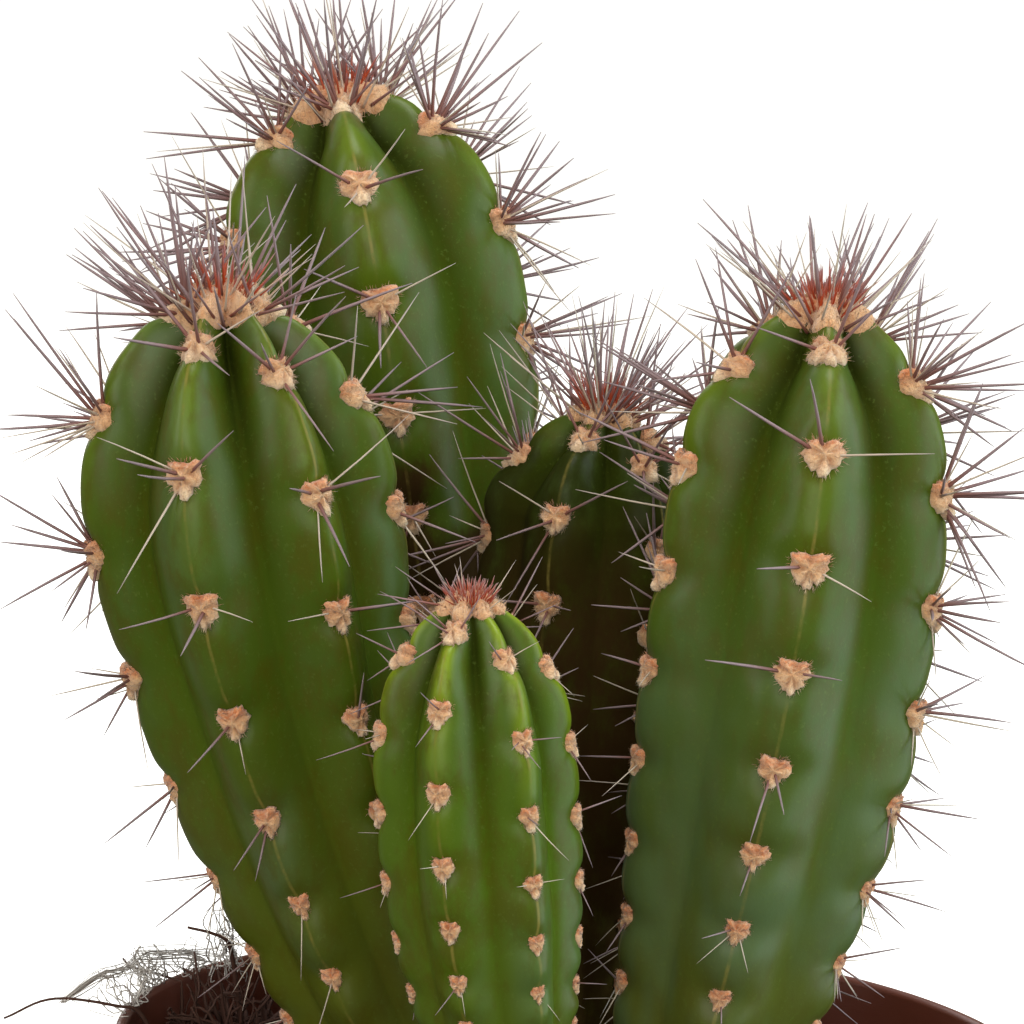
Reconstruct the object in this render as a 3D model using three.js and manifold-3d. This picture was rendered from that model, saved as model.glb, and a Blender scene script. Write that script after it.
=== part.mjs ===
// A potted cactus: five ribbed stems standing in the soil of one plastic nursery pot.
// Millimetres, +Z up, -Y to the front. The origin is the middle of the pot's flat underside.
import * as THREE from "three";
import { mergeVertices } from "three/addons/utils/BufferGeometryUtils.js";
import Module from "manifold-3d";

const wasm = await Module();
wasm.setup();

// Pot
const rimRadius = 60;
const potHeight = 105;
const footRadius = 42;
const wall = 1.6;
const floorThickness = 2.4;
const collarHeight = 12;
const collarStep = 2.2;
const potSides = 36;
const drainHoles = 6;
const drainRadius = 4;
const drainCircle = 27;

// Soil
const soilLevel = 94;
const soilMound = 1.2;
const soilDrop = 1.6;
const lumpHeight = 0.7;
const seatGap = 0.35;

// Stems. foot and tip are places on the ground plan and bow is how far the middle swings to the right. Each
// rib has an angle, counted from the front to the right, and a distance from the crown to its first areole.
const stemPlans = [
  {
    name: "stem_left",
    foot: [-15.6, -3.5],
    tip: [-50.7, -10],
    bow: -6.4,
    height: 107.5,
    stoutness: { foot: 13.2, full: 21.4, fullAt: 0.9 },
    dome: { length: 1.67, power: 2.25 },
    twist: 0,
    ribAngles: [-16, 35, 80, 131, 182, 233, 283],
    firstAreoles: [11.4, 16.5, 5.2, 13, 18, 10, 5.3],
    areoleGap: 17.8,
    gapShrink: 0.79,
    spineLength: 15,
    padSize: 1,
  },
  {
    name: "stem_back",
    foot: [-16.2, 40],
    tip: [-39.6, 46],
    bow: 2.1,
    height: 128,
    stoutness: { foot: 10.2, full: 21.4, fullAt: 0.8 },
    dome: { length: 1.43, power: 2.7 },
    twist: 0,
    ribAngles: [5, 75, 130, 183, 238, 295],
    firstAreoles: [5.6, 15, 8, 13, 6.5, 11.4],
    areoleGap: 16.7,
    gapShrink: 0.84,
    spineLength: 15,
    padSize: 1,
  },
  {
    name: "stem_right",
    foot: [12.6, -14],
    tip: [24.3, -12],
    bow: 2.8,
    height: 110.6,
    stoutness: { foot: 12.2, full: 18.9, fullAt: 0.59 },
    dome: { length: 1.58, power: 2.2 },
    twist: 9,
    ribAngles: [-1, 70, 127, 181, 236, 289],
    firstAreoles: [10.5, 16, 10, 15, 9, 15.3],
    areoleGap: 15.1,
    gapShrink: 0.66,
    spineLength: 15,
    padSize: 1,
  },
  {
    name: "stem_small_back",
    foot: [0.5, 17],
    tip: [-1.5, 17],
    bow: -2.2,
    height: 91.8,
    stoutness: { foot: 8.6, full: 14.3, fullAt: 0.6 },
    dome: { length: 0.96, power: 1.33 },
    twist: 0,
    ribAngles: [-22, 40, 98, 155, 212, 268],
    firstAreoles: [8, 11.5, 7.5, 13, 9, 13.5],
    areoleGap: 12.2,
    gapShrink: 0.5,
    spineLength: 12,
    padSize: 0.85,
  },
  {
    name: "stem_small_front",
    foot: [-6.3, -30],
    tip: [-17.3, -33],
    bow: -1.6,
    height: 74.6,
    stoutness: { foot: 7.5, full: 12.6, fullAt: 0.6 },
    dome: { length: 1.83, power: 2.34 },
    twist: 0,
    ribAngles: [-21, 33, 84, 134, 182, 230, 278],
    firstAreoles: [6.4, 10.7, 13.5, 8, 12, 7, 11.2],
    areoleGap: 10.9,
    gapShrink: 0.91,
    spineLength: 8,
    padSize: 0.72,
  },
];

// The ribs' grooves, as shares of the stem's radius, at the foot and at the top
const grooveAtFoot = 0.13;
const grooveAtTop = 0.31;
const grooveCurve = 1.7;
const edgeRounding = 0.25;
const flankStraightness = 0.6;
const grooveFadeAtCrown = 11;
const grooveFadeAtSoil = 7;

// Areoles: kite-shaped woolly pads, each in a shallow notch of its rib's edge
const pad = { above: 2.1, below: 3.2, halfWidth: 2.9, thickness: 1.7 };
const notch = { depth: 1.7, reach: 3 };
const padShrinkAtFoot = 0.35;
const lowestAreole = 4;
const closestAreoles = 0.45;
const gapCurve = 1.5;

// Spines
const spineRadius = 0.4;
const spineSides = 3;
const spineRootDepth = 1.1;
const spineShrinkAtFoot = 0.45;
const spineScatter = 0.7;
const oldAge = 0.75;
const goldenAngle = 137.5;
const crownSpines = 11;
const crownSpineSpread = 38;
const crownSpineLength = 0.72;
const shortestSpine = 3.5;
const clearOfStems = 0.9;
const clearOfSpines = 1.1;
const clearOfSoil = 1.8;

// The root of each stem, as shares of its foot's radius at shares of its depth, and the hole it stands in
const rootDepth = 15;
const socketSides = 18;
const rootOutline = [
  [0.86, 0.28],
  [0.6, 0.72],
];

// Coconut fibres that stand out of the soil, as routes over the rim
const fibreRadius = 0.36;
const fibreSides = 4;
const fibreSteps = 11;
const fibreRoutes = [
  [[-51, 8, 90], [-54, 6, 98], [-57, 3, 105], [-60.2, 1, 106.4], [-67.1, 0, 107.4], [-74.5, 0, 104.5]],
  [[-44, 22, 90], [-44.5, 20, 98], [-45.5, 17.5, 106], [-46.8, 15.5, 112], [-49, 15, 113.4], [-52.2, 15, 114.2]],
  [[30, 36, 90], [34, 34, 95.5], [41, 29, 97.5], [46, 22, 95], [48, 18, 91]],
];

const materials = {
  flesh: new THREE.MeshStandardMaterial({ color: 0x4c7038, roughness: 0.42 }),
  plastic: new THREE.MeshStandardMaterial({ color: 0x532a22, roughness: 0.5 }),
  soil: new THREE.MeshStandardMaterial({ color: 0x3a231a, roughness: 0.95 }),
};

// Small helpers

const radians = THREE.MathUtils.degToRad;
const smooth = (x, low, high) => THREE.MathUtils.smoothstep(x, low, high);

// A repeatable random number from 0 to 1 for a list of whole numbers.
function chance(...keys) {
  const seed = keys.reduce((sum, key) => (sum * 31.7 + key * 17.13 + 5.2) % 1000, 0);
  const wave = Math.sin(seed * 12.9898) * 43758.5453;
  return wave - Math.floor(wave);
}

// A closed three.js geometry as a solid, its doubled vertices merged.
function solidOf(geometry) {
  const bare = geometry.clone();
  bare.deleteAttribute("normal");
  bare.deleteAttribute("uv");
  const merged = mergeVertices(bare, 1e-4);
  return new wasm.Manifold(
    new wasm.Mesh({
      numProp: 3,
      vertProperties: new Float32Array(merged.attributes.position.array),
      triVerts: new Uint32Array(merged.index.array),
    }),
  );
}

// A solid as a named three.js mesh.
function meshOf(name, solid, material) {
  const { vertProperties, triVerts } = solid.getMesh();
  const geometry = new THREE.BufferGeometry()
    .setAttribute("position", new THREE.BufferAttribute(vertProperties, 3))
    .setIndex(new THREE.BufferAttribute(triVerts, 1));
  geometry.computeVertexNormals();
  const mesh = new THREE.Mesh(geometry, material);
  mesh.name = name;
  return mesh;
}

// A geometry turned about the Z axis from [radius, height] pairs. Lathes turn about Y, so it is stood up.
function turned(outline, sides) {
  const points = outline.map(([radius, height]) => new THREE.Vector2(radius, height));
  return new THREE.LatheGeometry(points, sides).rotateX(Math.PI / 2);
}

// Pot

const shoulderHeight = potHeight - collarHeight;
const shoulderRadius = rimRadius - collarStep;

// The pot's inner radius at a height: a straight taper up to the shoulder, then the wider collar.
function potInside(height) {
  if (height > shoulderHeight) return rimRadius - wall;
  return THREE.MathUtils.lerp(footRadius, shoulderRadius, height / shoulderHeight) - wall;
}

function makePot() {
  const shell = turned(
    [
      [0, 0],
      [footRadius, 0],
      [shoulderRadius - 0.2, shoulderHeight - 1.2],
      [rimRadius, shoulderHeight - 1.2],
      [rimRadius, potHeight - 0.7],
      [rimRadius - 0.5, potHeight],
      [rimRadius - wall + 0.2, potHeight],
      [rimRadius - wall, potHeight - 0.6],
      [rimRadius - wall, shoulderHeight + 0.4],
      [shoulderRadius - wall, shoulderHeight],
      [potInside(floorThickness), floorThickness],
      [0, floorThickness],
    ],
    potSides,
  );
  const drills = [];
  for (let i = 0; i < drainHoles; i++) {
    const angle = (i / drainHoles) * 2 * Math.PI;
    const drill = new THREE.CylinderGeometry(drainRadius, drainRadius, 4 * floorThickness, 12)
      .rotateX(Math.PI / 2)
      .translate(drainCircle * Math.cos(angle), drainCircle * Math.sin(angle), 0);
    drills.push(solidOf(drill));
  }
  return wasm.Manifold.difference([solidOf(shell), ...drills]);
}

// Stem shape

// The stem's radius at a height above the soil: it swells from its foot, then closes in a dome.
function stoutnessAt(plan, height) {
  const { foot, full, fullAt } = plan.stoutness;
  const share = height / plan.height;
  const body = foot + (full - foot) * smooth(share, 0, fullAt);
  const domeShare = (plan.dome.length * full) / plan.height;
  const intoDome = Math.max(0, (share - 1 + domeShare) / domeShare);
  return body * Math.sqrt(Math.max(0, 1 - intoDome ** plan.dome.power));
}

// The stem's outline from crown to root tip, as steps of {way, radius, height}, where way is the distance
// gone along it. Below the soil the root narrows along its own outline.
function outlineOf(plan) {
  const steps = 400;
  const line = [];
  for (let i = 0; i <= steps; i++) {
    const height = plan.height * (1 - (i / steps) ** 2);
    line.push({ radius: stoutnessAt(plan, height), height });
  }
  plan.soilStep = line.length - 1;
  for (const [width, depth] of [...rootOutline, [0, 1]]) {
    line.push({ radius: plan.stoutness.foot * width, height: -rootDepth * depth });
  }
  line[0].way = 0;
  for (let i = 1; i < line.length; i++) {
    const run = Math.hypot(line[i].radius - line[i - 1].radius, line[i].height - line[i - 1].height);
    line[i].way = line[i - 1].way + run;
  }
  return line;
}

// Radius, height and outward direction of the outline at a distance from the crown.
function outlineAt(stem, way) {
  const line = stem.outline;
  let i = 1;
  while (i < line.length - 1 && line[i].way < way) i++;
  const a = line[i - 1];
  const b = line[i];
  const t = THREE.MathUtils.clamp((way - a.way) / (b.way - a.way), 0, 1);
  const run = b.way - a.way;
  return {
    radius: THREE.MathUtils.lerp(a.radius, b.radius, t),
    height: THREE.MathUtils.lerp(a.height, b.height, t),
    outward: [(a.height - b.height) / run, (b.radius - a.radius) / run],
  };
}

// The middle line of a stem at a height above the soil. Underground it runs on straight.
function middleAt(plan, height) {
  const share = height / plan.height;
  const swing = share < 0 ? 4 * share : 4 * share * (1 - share);
  return new THREE.Vector3(
    plan.foot[0] + (plan.tip[0] - plan.foot[0]) * share + plan.bow * swing,
    plan.foot[1] + (plan.tip[1] - plan.foot[1]) * share,
    soilLevel + height,
  );
}

// The directions across and along the stem at a height.
function framesAt(plan, height) {
  const low = Math.max(0, height);
  const along = middleAt(plan, low + 0.5).sub(middleAt(plan, low)).normalize();
  const across = new THREE.Vector3(1, 0, 0).addScaledVector(along, -along.x).normalize();
  return { along, across, away: new THREE.Vector3().crossVectors(along, across) };
}

// The angle round the stem of a place among the ribs. rib is 0 on one rib's edge, 1 on the next, and so on.
function ribAngle(plan, rib) {
  const count = plan.ribAngles.length;
  const whole = Math.floor(rib);
  const here = plan.ribAngles[((whole % count) + count) % count];
  const next = plan.ribAngles[(((whole + 1) % count) + count) % count];
  const step = (next - here + 360) % 360;
  return here + step * (rib - whole);
}

// How deep the surface lies under the ribs' edges: flat flanks with a rounded edge that meet in a crease.
function grooveAt(stem, rib, way, height) {
  const plan = stem.plan;
  const share = THREE.MathUtils.clamp(height / plan.height, 0, 1);
  const depth = THREE.MathUtils.lerp(grooveAtFoot, grooveAtTop, share ** 1.5) * plan.stoutness.full;
  const fade = smooth(way, 0, grooveFadeAtCrown) * smooth(height, 0, grooveFadeAtSoil);
  const beside = 2 * Math.abs(rib - Math.round(rib));
  const bowed = Math.sin((Math.PI / 2) * beside) ** grooveCurve;
  const rounded = Math.hypot(1, edgeRounding) - edgeRounding;
  const straight = (Math.hypot(beside, edgeRounding) - edgeRounding) / rounded;
  return depth * fade * THREE.MathUtils.lerp(bowed, straight, flankStraightness);
}

// How deep the notches of the nearest rib's edge lie at a distance from the crown.
function notchAt(stem, rib, way) {
  const nearest = Math.round(rib);
  const count = stem.areoles.length;
  const places = stem.areoles[((nearest % count) + count) % count];
  const beside = (1 - 2 * Math.abs(rib - nearest)) ** 2;
  return places.reduce((deepest, place) => {
    const dip = Math.exp(-(((way - place.way) / (notch.reach * place.size)) ** 2));
    return Math.max(deepest, notch.depth * place.size * dip);
  }, 0) * beside;
}

// A point of the stem's surface, lifted off it by lift.
function surfaceAt(stem, rib, way, lift = 0) {
  const plan = stem.plan;
  const { radius, height, outward } = outlineAt(stem, way);
  const out = lift - grooveAt(stem, rib, way, height) - notchAt(stem, rib, way);
  const angle = radians(ribAngle(plan, rib) + plan.twist * (height / plan.height - 0.5));
  const { along, across, away } = framesAt(plan, height);
  return middleAt(plan, height)
    .addScaledVector(across, (radius + out * outward[0]) * Math.sin(angle))
    .addScaledVector(away, -(radius + out * outward[0]) * Math.cos(angle))
    .addScaledVector(along, out * outward[1]);
}

// The areoles of one rib: distances from the crown, closer together towards the old foot, with a size.
function areolesOf(plan, start, soilWay) {
  const places = [];
  let way = start;
  while (way < soilWay - lowestAreole) {
    const share = way / soilWay;
    places.push({ way, age: share, size: plan.padSize * (1 - padShrinkAtFoot * share) });
    way += plan.areoleGap * Math.max(closestAreoles, 1 - plan.gapShrink * share ** gapCurve);
  }
  return places;
}

// Stem mesh: columns of points run from crown to root tip, and neighbouring columns are zipped together

const shoulderAt = 0.2;
const padCornerRise = 0.3;

// Half the width of a pad, as a share of the way from one rib to the next.
function padReach(stem, way, size) {
  const spacing = (2 * Math.PI * outlineAt(stem, way).radius) / stem.areoles.length;
  return Math.min(0.3, (pad.halfWidth * size) / spacing);
}

// Adds rows between the given ones until no step is longer than the longest allowed.
function withRows(rows, longest) {
  const full = [rows[0]];
  for (const row of rows.slice(1)) {
    const last = full[full.length - 1];
    const extra = Math.ceil((row.way - last.way) / longest) - 1;
    for (let i = 1; i <= extra; i++) {
      const share = i / (extra + 1);
      full.push({ way: THREE.MathUtils.lerp(last.way, row.way, share), rib: null, lift: 0 });
    }
    full.push(row);
  }
  return full;
}

// The rows that every column has at and under the soil.
function rootRows(stem) {
  return stem.outline.slice(stem.plan.soilStep, -1).map((step) => ({ way: step.way, rib: null, lift: 0 }));
}

function crestColumn(stem, rib) {
  const rows = [{ way: 2.4, rib: null, lift: 0 }];
  for (const { way, size } of stem.areoles[rib]) {
    rows.push({ way: way - pad.above * size, rib: null, lift: 0 });
    rows.push({ way: way, rib: null, lift: pad.thickness * size });
    rows.push({ way: way + pad.below * size, rib: null, lift: 0 });
  }
  return withRows([...rows, ...rootRows(stem)], 7.5);
}

function shoulderColumn(stem, rib, side) {
  const rows = [{ way: 2.4, rib: null, lift: 0 }];
  const places = stem.areoles[rib];
  places.forEach(({ way, size }, i) => {
    rows.push({ way: way - padCornerRise * size, rib: rib + side * padReach(stem, way, size), lift: 0 });
    const next = places[i + 1];
    if (next) rows.push({ way: (way + next.way) / 2, rib: null, lift: 0 });
  });
  return withRows([...rows, ...rootRows(stem)], 12);
}

function columnsOf(stem) {
  const columns = [];
  const count = stem.areoles.length;
  for (let rib = 0; rib < count; rib++) {
    const valley = withRows([{ way: 2.4, rib: null, lift: 0 }, ...rootRows(stem)], 11);
    columns.push({ rib, rows: crestColumn(stem, rib) });
    columns.push({ rib: rib + shoulderAt, rows: shoulderColumn(stem, rib, 1) });
    columns.push({ rib: rib + 0.5, rows: valley });
    columns.push({
      rib: rib + 1 - shoulderAt,
      rows: shoulderColumn(stem, (rib + 1) % count, -1),
    });
  }
  return columns;
}

function stemBody(stem) {
  const crownTip = surfaceAt(stem, 0, 0, pad.thickness * stem.plan.padSize);
  const rootTip = surfaceAt(stem, 0, stem.outline[stem.outline.length - 1].way);
  const points = [crownTip, rootTip];
  const columns = columnsOf(stem).map(({ rib, rows }) =>
    rows.map((row) => {
      points.push(surfaceAt(stem, row.rib ?? rib, row.way, row.lift));
      return { index: points.length - 1, way: row.way };
    }),
  );
  const faces = [];
  columns.forEach((left, c) => {
    const right = columns[(c + 1) % columns.length];
    faces.push(0, left[0].index, right[0].index);
    let i = 0;
    let j = 0;
    while (i < left.length - 1 || j < right.length - 1) {
      const stepLeft = j === right.length - 1 || (i < left.length - 1 && left[i + 1].way <= right[j + 1].way);
      faces.push(left[i].index, stepLeft ? left[i + 1].index : right[j + 1].index, right[j].index);
      if (stepLeft) i++;
      else j++;
    }
    faces.push(1, right[j].index, left[i].index);
  });
  const geometry = new THREE.BufferGeometry().setFromPoints(points).setIndex(faces);
  return solidOf(geometry);
}

// Spines

// True where a point lies in the soil, in the pot or in a stem other than its own.
function isBlocked(point, own, stems) {
  if (point.z < soilLevel + clearOfSoil) return true;
  const fromAxis = Math.hypot(point.x, point.y);
  if (point.z < potHeight + 1 && fromAxis > rimRadius - wall - 1) return true;
  return stems.some((stem) => {
    if (stem === own) return false;
    const height = point.z - soilLevel;
    if (height > stem.plan.height) return false;
    const middle = middleAt(stem.plan, height);
    const reach = stoutnessAt(stem.plan, height) / framesAt(stem.plan, height).along.z;
    return Math.hypot(point.x - middle.x, point.y - middle.y) < reach + clearOfStems;
  });
}

// The least distance between two straight spines.
function spineDistance(a, b) {
  const u = a.tip.clone().sub(a.root);
  const v = b.tip.clone().sub(b.root);
  const w = a.root.clone().sub(b.root);
  const [uu, uv, vv, uw, vw] = [u.dot(u), u.dot(v), v.dot(v), u.dot(w), v.dot(w)];
  const clamp = THREE.MathUtils.clamp;
  const s = clamp((uv * vw - vv * uw) / Math.max(1e-9, uu * vv - uv * uv), 0, 1);
  const t = clamp((uv * s + vw) / vv, 0, 1);
  const s2 = clamp((uv * t - uw) / uu, 0, 1);
  return w.addScaledVector(u, s2).addScaledVector(v, -t).length();
}

// A spine turned up the stem, and at last cut short, until it is clear of all that is not its own stem.
function placeSpine(spot, direction, length, stem, stems, placed) {
  for (const bend of [0, 0.3, 0.6, 0.9]) {
    const aim = direction.clone().lerp(spot.up, bend).normalize();
    for (const share of bend < 0.9 ? [1] : [1, 0.75, 0.5]) {
      const reach = length * share;
      if (reach < shortestSpine) continue;
      let clear = true;
      for (let d = 2.5; d <= reach + 0.5 && clear; d += 0.8) {
        clear = !isBlocked(spot.point.clone().addScaledVector(aim, d), stem, stems);
      }
      const spine = {
        root: spot.point.clone().addScaledVector(aim, -spineRootDepth),
        tip: spot.point.clone().addScaledVector(aim, reach),
        stem,
      };
      clear = clear && placed.every((other) => other.stem === stem || spineDistance(other, spine) > clearOfSpines);
      if (clear) return spine;
    }
  }
  return null;
}

// The pad's four faces meet in its raised middle. A face is given by its middle and the way it looks.
function padFaces(stem, rib, { way, size }) {
  const reach = padReach(stem, way, size);
  const peak = surfaceAt(stem, rib, way, pad.thickness * size);
  const corners = [
    surfaceAt(stem, rib, way - pad.above * size),
    surfaceAt(stem, rib - reach, way - padCornerRise * size),
    surfaceAt(stem, rib, way + pad.below * size),
    surfaceAt(stem, rib + reach, way - padCornerRise * size),
  ];
  return corners.map((corner, i) => {
    const next = corners[(i + 1) % corners.length];
    const face = new THREE.Triangle(peak, corner, next);
    return { point: face.getMidpoint(new THREE.Vector3()), aim: face.getNormal(new THREE.Vector3()) };
  });
}

// Three spines an areole, each out of the middle of one face of its pad. The fourth face stays bare by turns,
// and on the oldest areoles one more.
function areoleSpines(stem, number, stems, placed) {
  stem.areoles.forEach((places, rib) => {
    places.forEach((place, row) => {
      const up = surfaceAt(stem, rib, place.way - 1.5).sub(surfaceAt(stem, rib, place.way + 1.5)).normalize();
      const full = stem.plan.spineLength * (1 - spineShrinkAtFoot * place.age);
      padFaces(stem, rib, place).forEach(({ point, aim }, i) => {
        const turn = (i + row + rib) % 4;
        if (turn === 0 || (turn === 2 && place.age > oldAge)) return;
        const draw = (key) => chance(number, rib, row, i, key);
        const scatter = new THREE.Vector3(draw(1) - 0.5, draw(2) - 0.5, draw(3) - 0.5);
        aim.addScaledVector(scatter, spineScatter).normalize();
        const spine = placeSpine({ point, up }, aim, full * (0.75 + 0.4 * draw(4)), stem, stems, placed);
        if (spine) placed.push(spine);
      });
    });
  });
}

function crownTuft(stem, number, stems, placed) {
  for (let i = 0; i < crownSpines; i++) {
    const out = Math.sqrt((i + 0.5) / crownSpines);
    const rib = ((goldenAngle * i) / 360) * stem.areoles.length;
    const point = surfaceAt(stem, rib, 1.2 + 3.6 * out);
    const { along } = framesAt(stem.plan, stem.plan.height);
    const lean = crownSpineSpread * out + 10 * (chance(number, i, 7) - 0.5);
    const outward = point.clone().sub(middleAt(stem.plan, stem.plan.height));
    outward.addScaledVector(along, -outward.dot(along)).normalize();
    const aim = along.clone().multiplyScalar(Math.cos(radians(lean)));
    aim.addScaledVector(outward, Math.sin(radians(lean)));
    const length = stem.plan.spineLength * crownSpineLength * (0.8 + 0.4 * chance(number, i, 8));
    const spine = placeSpine({ point, up: along }, aim, length, stem, stems, placed);
    if (spine) placed.push(spine);
  }
}

// A spine as a slim pyramid from its sunk root to its tip.
function spineSolid({ root, tip }) {
  const length = root.distanceTo(tip);
  const cone = new THREE.ConeGeometry(spineRadius, length, spineSides).translate(0, length / 2, 0);
  const turn = new THREE.Quaternion().setFromUnitVectors(
    new THREE.Vector3(0, 1, 0),
    tip.clone().sub(root).normalize(),
  );
  return solidOf(cone.applyQuaternion(turn).translate(root.x, root.y, root.z));
}

// Soil

// Small heaps and hollows of the soil's surface, as a sum of waves.
function lumpAt(x, y) {
  const waves = Math.sin(0.31 * x + 1.3) * Math.cos(0.27 * y - 0.4) + 0.6 * Math.sin(0.53 * x - 0.47 * y);
  return (lumpHeight * waves) / 1.6;
}

function soilBlock() {
  const edge = potInside(soilLevel - soilDrop) - seatGap;
  const rings = 5;
  const outline = [];
  for (let i = 0; i <= rings; i++) {
    const share = i / rings;
    outline.push([edge * share, soilLevel + soilMound - (soilMound + soilDrop) * share ** 2]);
  }
  outline.push([potInside(floorThickness) - seatGap, floorThickness + seatGap], [0, floorThickness + seatGap]);
  const geometry = turned(outline.reverse(), potSides);
  const places = geometry.attributes.position;
  for (let i = 0; i < places.count; i++) {
    const [x, y, z] = [places.getX(i), places.getY(i), places.getZ(i)];
    const inward = smooth(edge - Math.hypot(x, y), 0, 4);
    if (z > soilLevel - soilDrop - 0.1) places.setZ(i, z + inward * lumpAt(x, y));
  }
  return solidOf(geometry);
}

// A plain hole for a stem: its root's outline, a little wider and deeper, running out above the soil.
function socketFor(plan) {
  const { along } = framesAt(plan, 0);
  const widening = 1 / Math.cos(Math.PI / socketSides);
  const depth = rootDepth / along.z;
  const foot = plan.stoutness.foot * widening + seatGap;
  const outline = [[0, -depth - seatGap]];
  for (const [width, share] of [...rootOutline].reverse()) {
    outline.push([plan.stoutness.foot * width * widening + seatGap, -depth * share - seatGap / 2]);
  }
  outline.push([foot, 0], [foot + 0.5, 8], [foot + 2, 16], [0, 16]);
  const lean = new THREE.Quaternion().setFromUnitVectors(new THREE.Vector3(0, 0, 1), along);
  const foothold = middleAt(plan, 0);
  const geometry = turned(outline, socketSides).applyQuaternion(lean).translate(foothold.x, foothold.y, foothold.z);
  return solidOf(geometry);
}

// A fibre: a thin tube along a smooth route that starts in the soil.
function fibreAlong(route) {
  const path = new THREE.CatmullRomCurve3(route.map((place) => new THREE.Vector3(...place)));
  const section = new THREE.Shape();
  for (let i = 0; i < fibreSides; i++) {
    const angle = (i / fibreSides) * 2 * Math.PI;
    const point = [fibreRadius * Math.cos(angle), fibreRadius * Math.sin(angle)];
    if (i === 0) section.moveTo(...point);
    else section.lineTo(...point);
  }
  section.closePath();
  return solidOf(new THREE.ExtrudeGeometry(section, { steps: fibreSteps, extrudePath: path }));
}

function makeSoil() {
  const holed = wasm.Manifold.difference([soilBlock(), ...stemPlans.map(socketFor)]);
  return wasm.Manifold.union([holed, ...fibreRoutes.map(fibreAlong)]);
}

// Assembly

function prepareStem(plan) {
  const stem = { plan, outline: outlineOf(plan) };
  const soilWay = stem.outline[plan.soilStep].way;
  stem.areoles = plan.firstAreoles.map((start) => areolesOf(plan, start, soilWay));
  return stem;
}

const stems = stemPlans.map(prepareStem);
const spines = [];
stems.forEach((stem, number) => {
  crownTuft(stem, number, stems, spines);
  areoleSpines(stem, number, stems, spines);
});

const cactus = new THREE.Group();
cactus.add(meshOf("pot", makePot(), materials.plastic));
cactus.add(meshOf("soil", makeSoil(), materials.soil));
for (const stem of stems) {
  const own = spines.filter((spine) => spine.stem === stem).map(spineSolid);
  cactus.add(meshOf(stem.plan.name, wasm.Manifold.union([stemBody(stem), ...own]), materials.flesh));
}

export default cactus;
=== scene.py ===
"""Dresses the potted tall cactus: ribbed waxy stems, woolly areoles, spines, soil with fibres and its pot.

Shapes are worked out in millimetres and put into the meshes in metres. +Z is up and -Y is the front.
"""

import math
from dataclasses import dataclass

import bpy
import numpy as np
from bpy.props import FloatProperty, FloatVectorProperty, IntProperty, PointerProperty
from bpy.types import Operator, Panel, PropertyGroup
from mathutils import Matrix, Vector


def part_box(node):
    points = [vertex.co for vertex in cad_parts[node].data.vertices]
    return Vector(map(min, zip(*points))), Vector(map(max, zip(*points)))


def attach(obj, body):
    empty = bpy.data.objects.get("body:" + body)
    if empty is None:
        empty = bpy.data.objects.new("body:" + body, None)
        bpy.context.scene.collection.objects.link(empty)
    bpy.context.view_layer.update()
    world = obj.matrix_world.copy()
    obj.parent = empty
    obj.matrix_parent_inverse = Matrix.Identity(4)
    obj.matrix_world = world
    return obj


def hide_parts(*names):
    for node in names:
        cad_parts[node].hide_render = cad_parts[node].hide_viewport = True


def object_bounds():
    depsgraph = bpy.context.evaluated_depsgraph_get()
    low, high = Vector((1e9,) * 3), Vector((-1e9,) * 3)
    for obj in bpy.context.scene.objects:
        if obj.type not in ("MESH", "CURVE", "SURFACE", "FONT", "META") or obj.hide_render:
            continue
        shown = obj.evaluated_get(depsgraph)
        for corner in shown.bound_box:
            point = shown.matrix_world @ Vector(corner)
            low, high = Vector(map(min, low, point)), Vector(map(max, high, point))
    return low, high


bl_info = {
    "name": "Potted Tall Cactus",
    "version": (1, 0, 0),
    "blender": (4, 5, 0),
    "location": "View3D > Sidebar > Cactus",
    "description": "Builds the stems, wool, spines, soil, fibres and pot of a potted columnar cactus",
    "category": "Object",
}

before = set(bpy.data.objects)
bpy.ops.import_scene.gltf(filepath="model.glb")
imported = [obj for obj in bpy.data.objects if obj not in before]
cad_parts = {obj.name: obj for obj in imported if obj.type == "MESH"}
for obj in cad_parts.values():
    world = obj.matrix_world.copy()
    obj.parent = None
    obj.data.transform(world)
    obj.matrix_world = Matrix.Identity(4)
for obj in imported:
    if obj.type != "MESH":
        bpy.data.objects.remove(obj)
CAD_BOUNDS = [list(corner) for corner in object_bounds()]

MM = 0.001
TINY = 1e-9
GOLDEN_TURN = math.radians(137.5)


# Driving sizes, in millimetres

POT_LOW, POT_HIGH = (np.array(corner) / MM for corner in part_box("pot"))
RIM_RADIUS = (POT_HIGH[0] - POT_LOW[0]) / 2
POT_HEIGHT = POT_HIGH[2]
FOOT_RADIUS = 42.0
WALL = 1.6
FLOOR_THICKNESS = 2.4
COLLAR_HEIGHT = 12.0
COLLAR_STEP = 2.2
SHOULDER_HEIGHT = POT_HEIGHT - COLLAR_HEIGHT
SHOULDER_RADIUS = RIM_RADIUS - COLLAR_STEP
DRAIN_HOLES = 6
DRAIN_RADIUS = 4.0
DRAIN_CIRCLE = 27.0

SOIL_LEVEL = 94.0
SOIL_MOUND = 1.2
SOIL_DROP = 1.6
SEAT_GAP = 0.35

ROOT_DEPTH = 15.0
ROOT_OUTLINE = ((0.86, 0.28), (0.6, 0.72), (0.0, 1.0))

OUTLINE_BLUR = 2.5
GROOVE_AT_FOOT = 0.13
GROOVE_AT_TOP = 0.31
GROOVE_CURVE = 1.7
EDGE_ROUNDING = 0.25
FLANK_STRAIGHTNESS = 0.6
GROOVE_FADE_AT_CROWN = 11.0
GROOVE_FADE_AT_SOIL = 7.0

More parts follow.
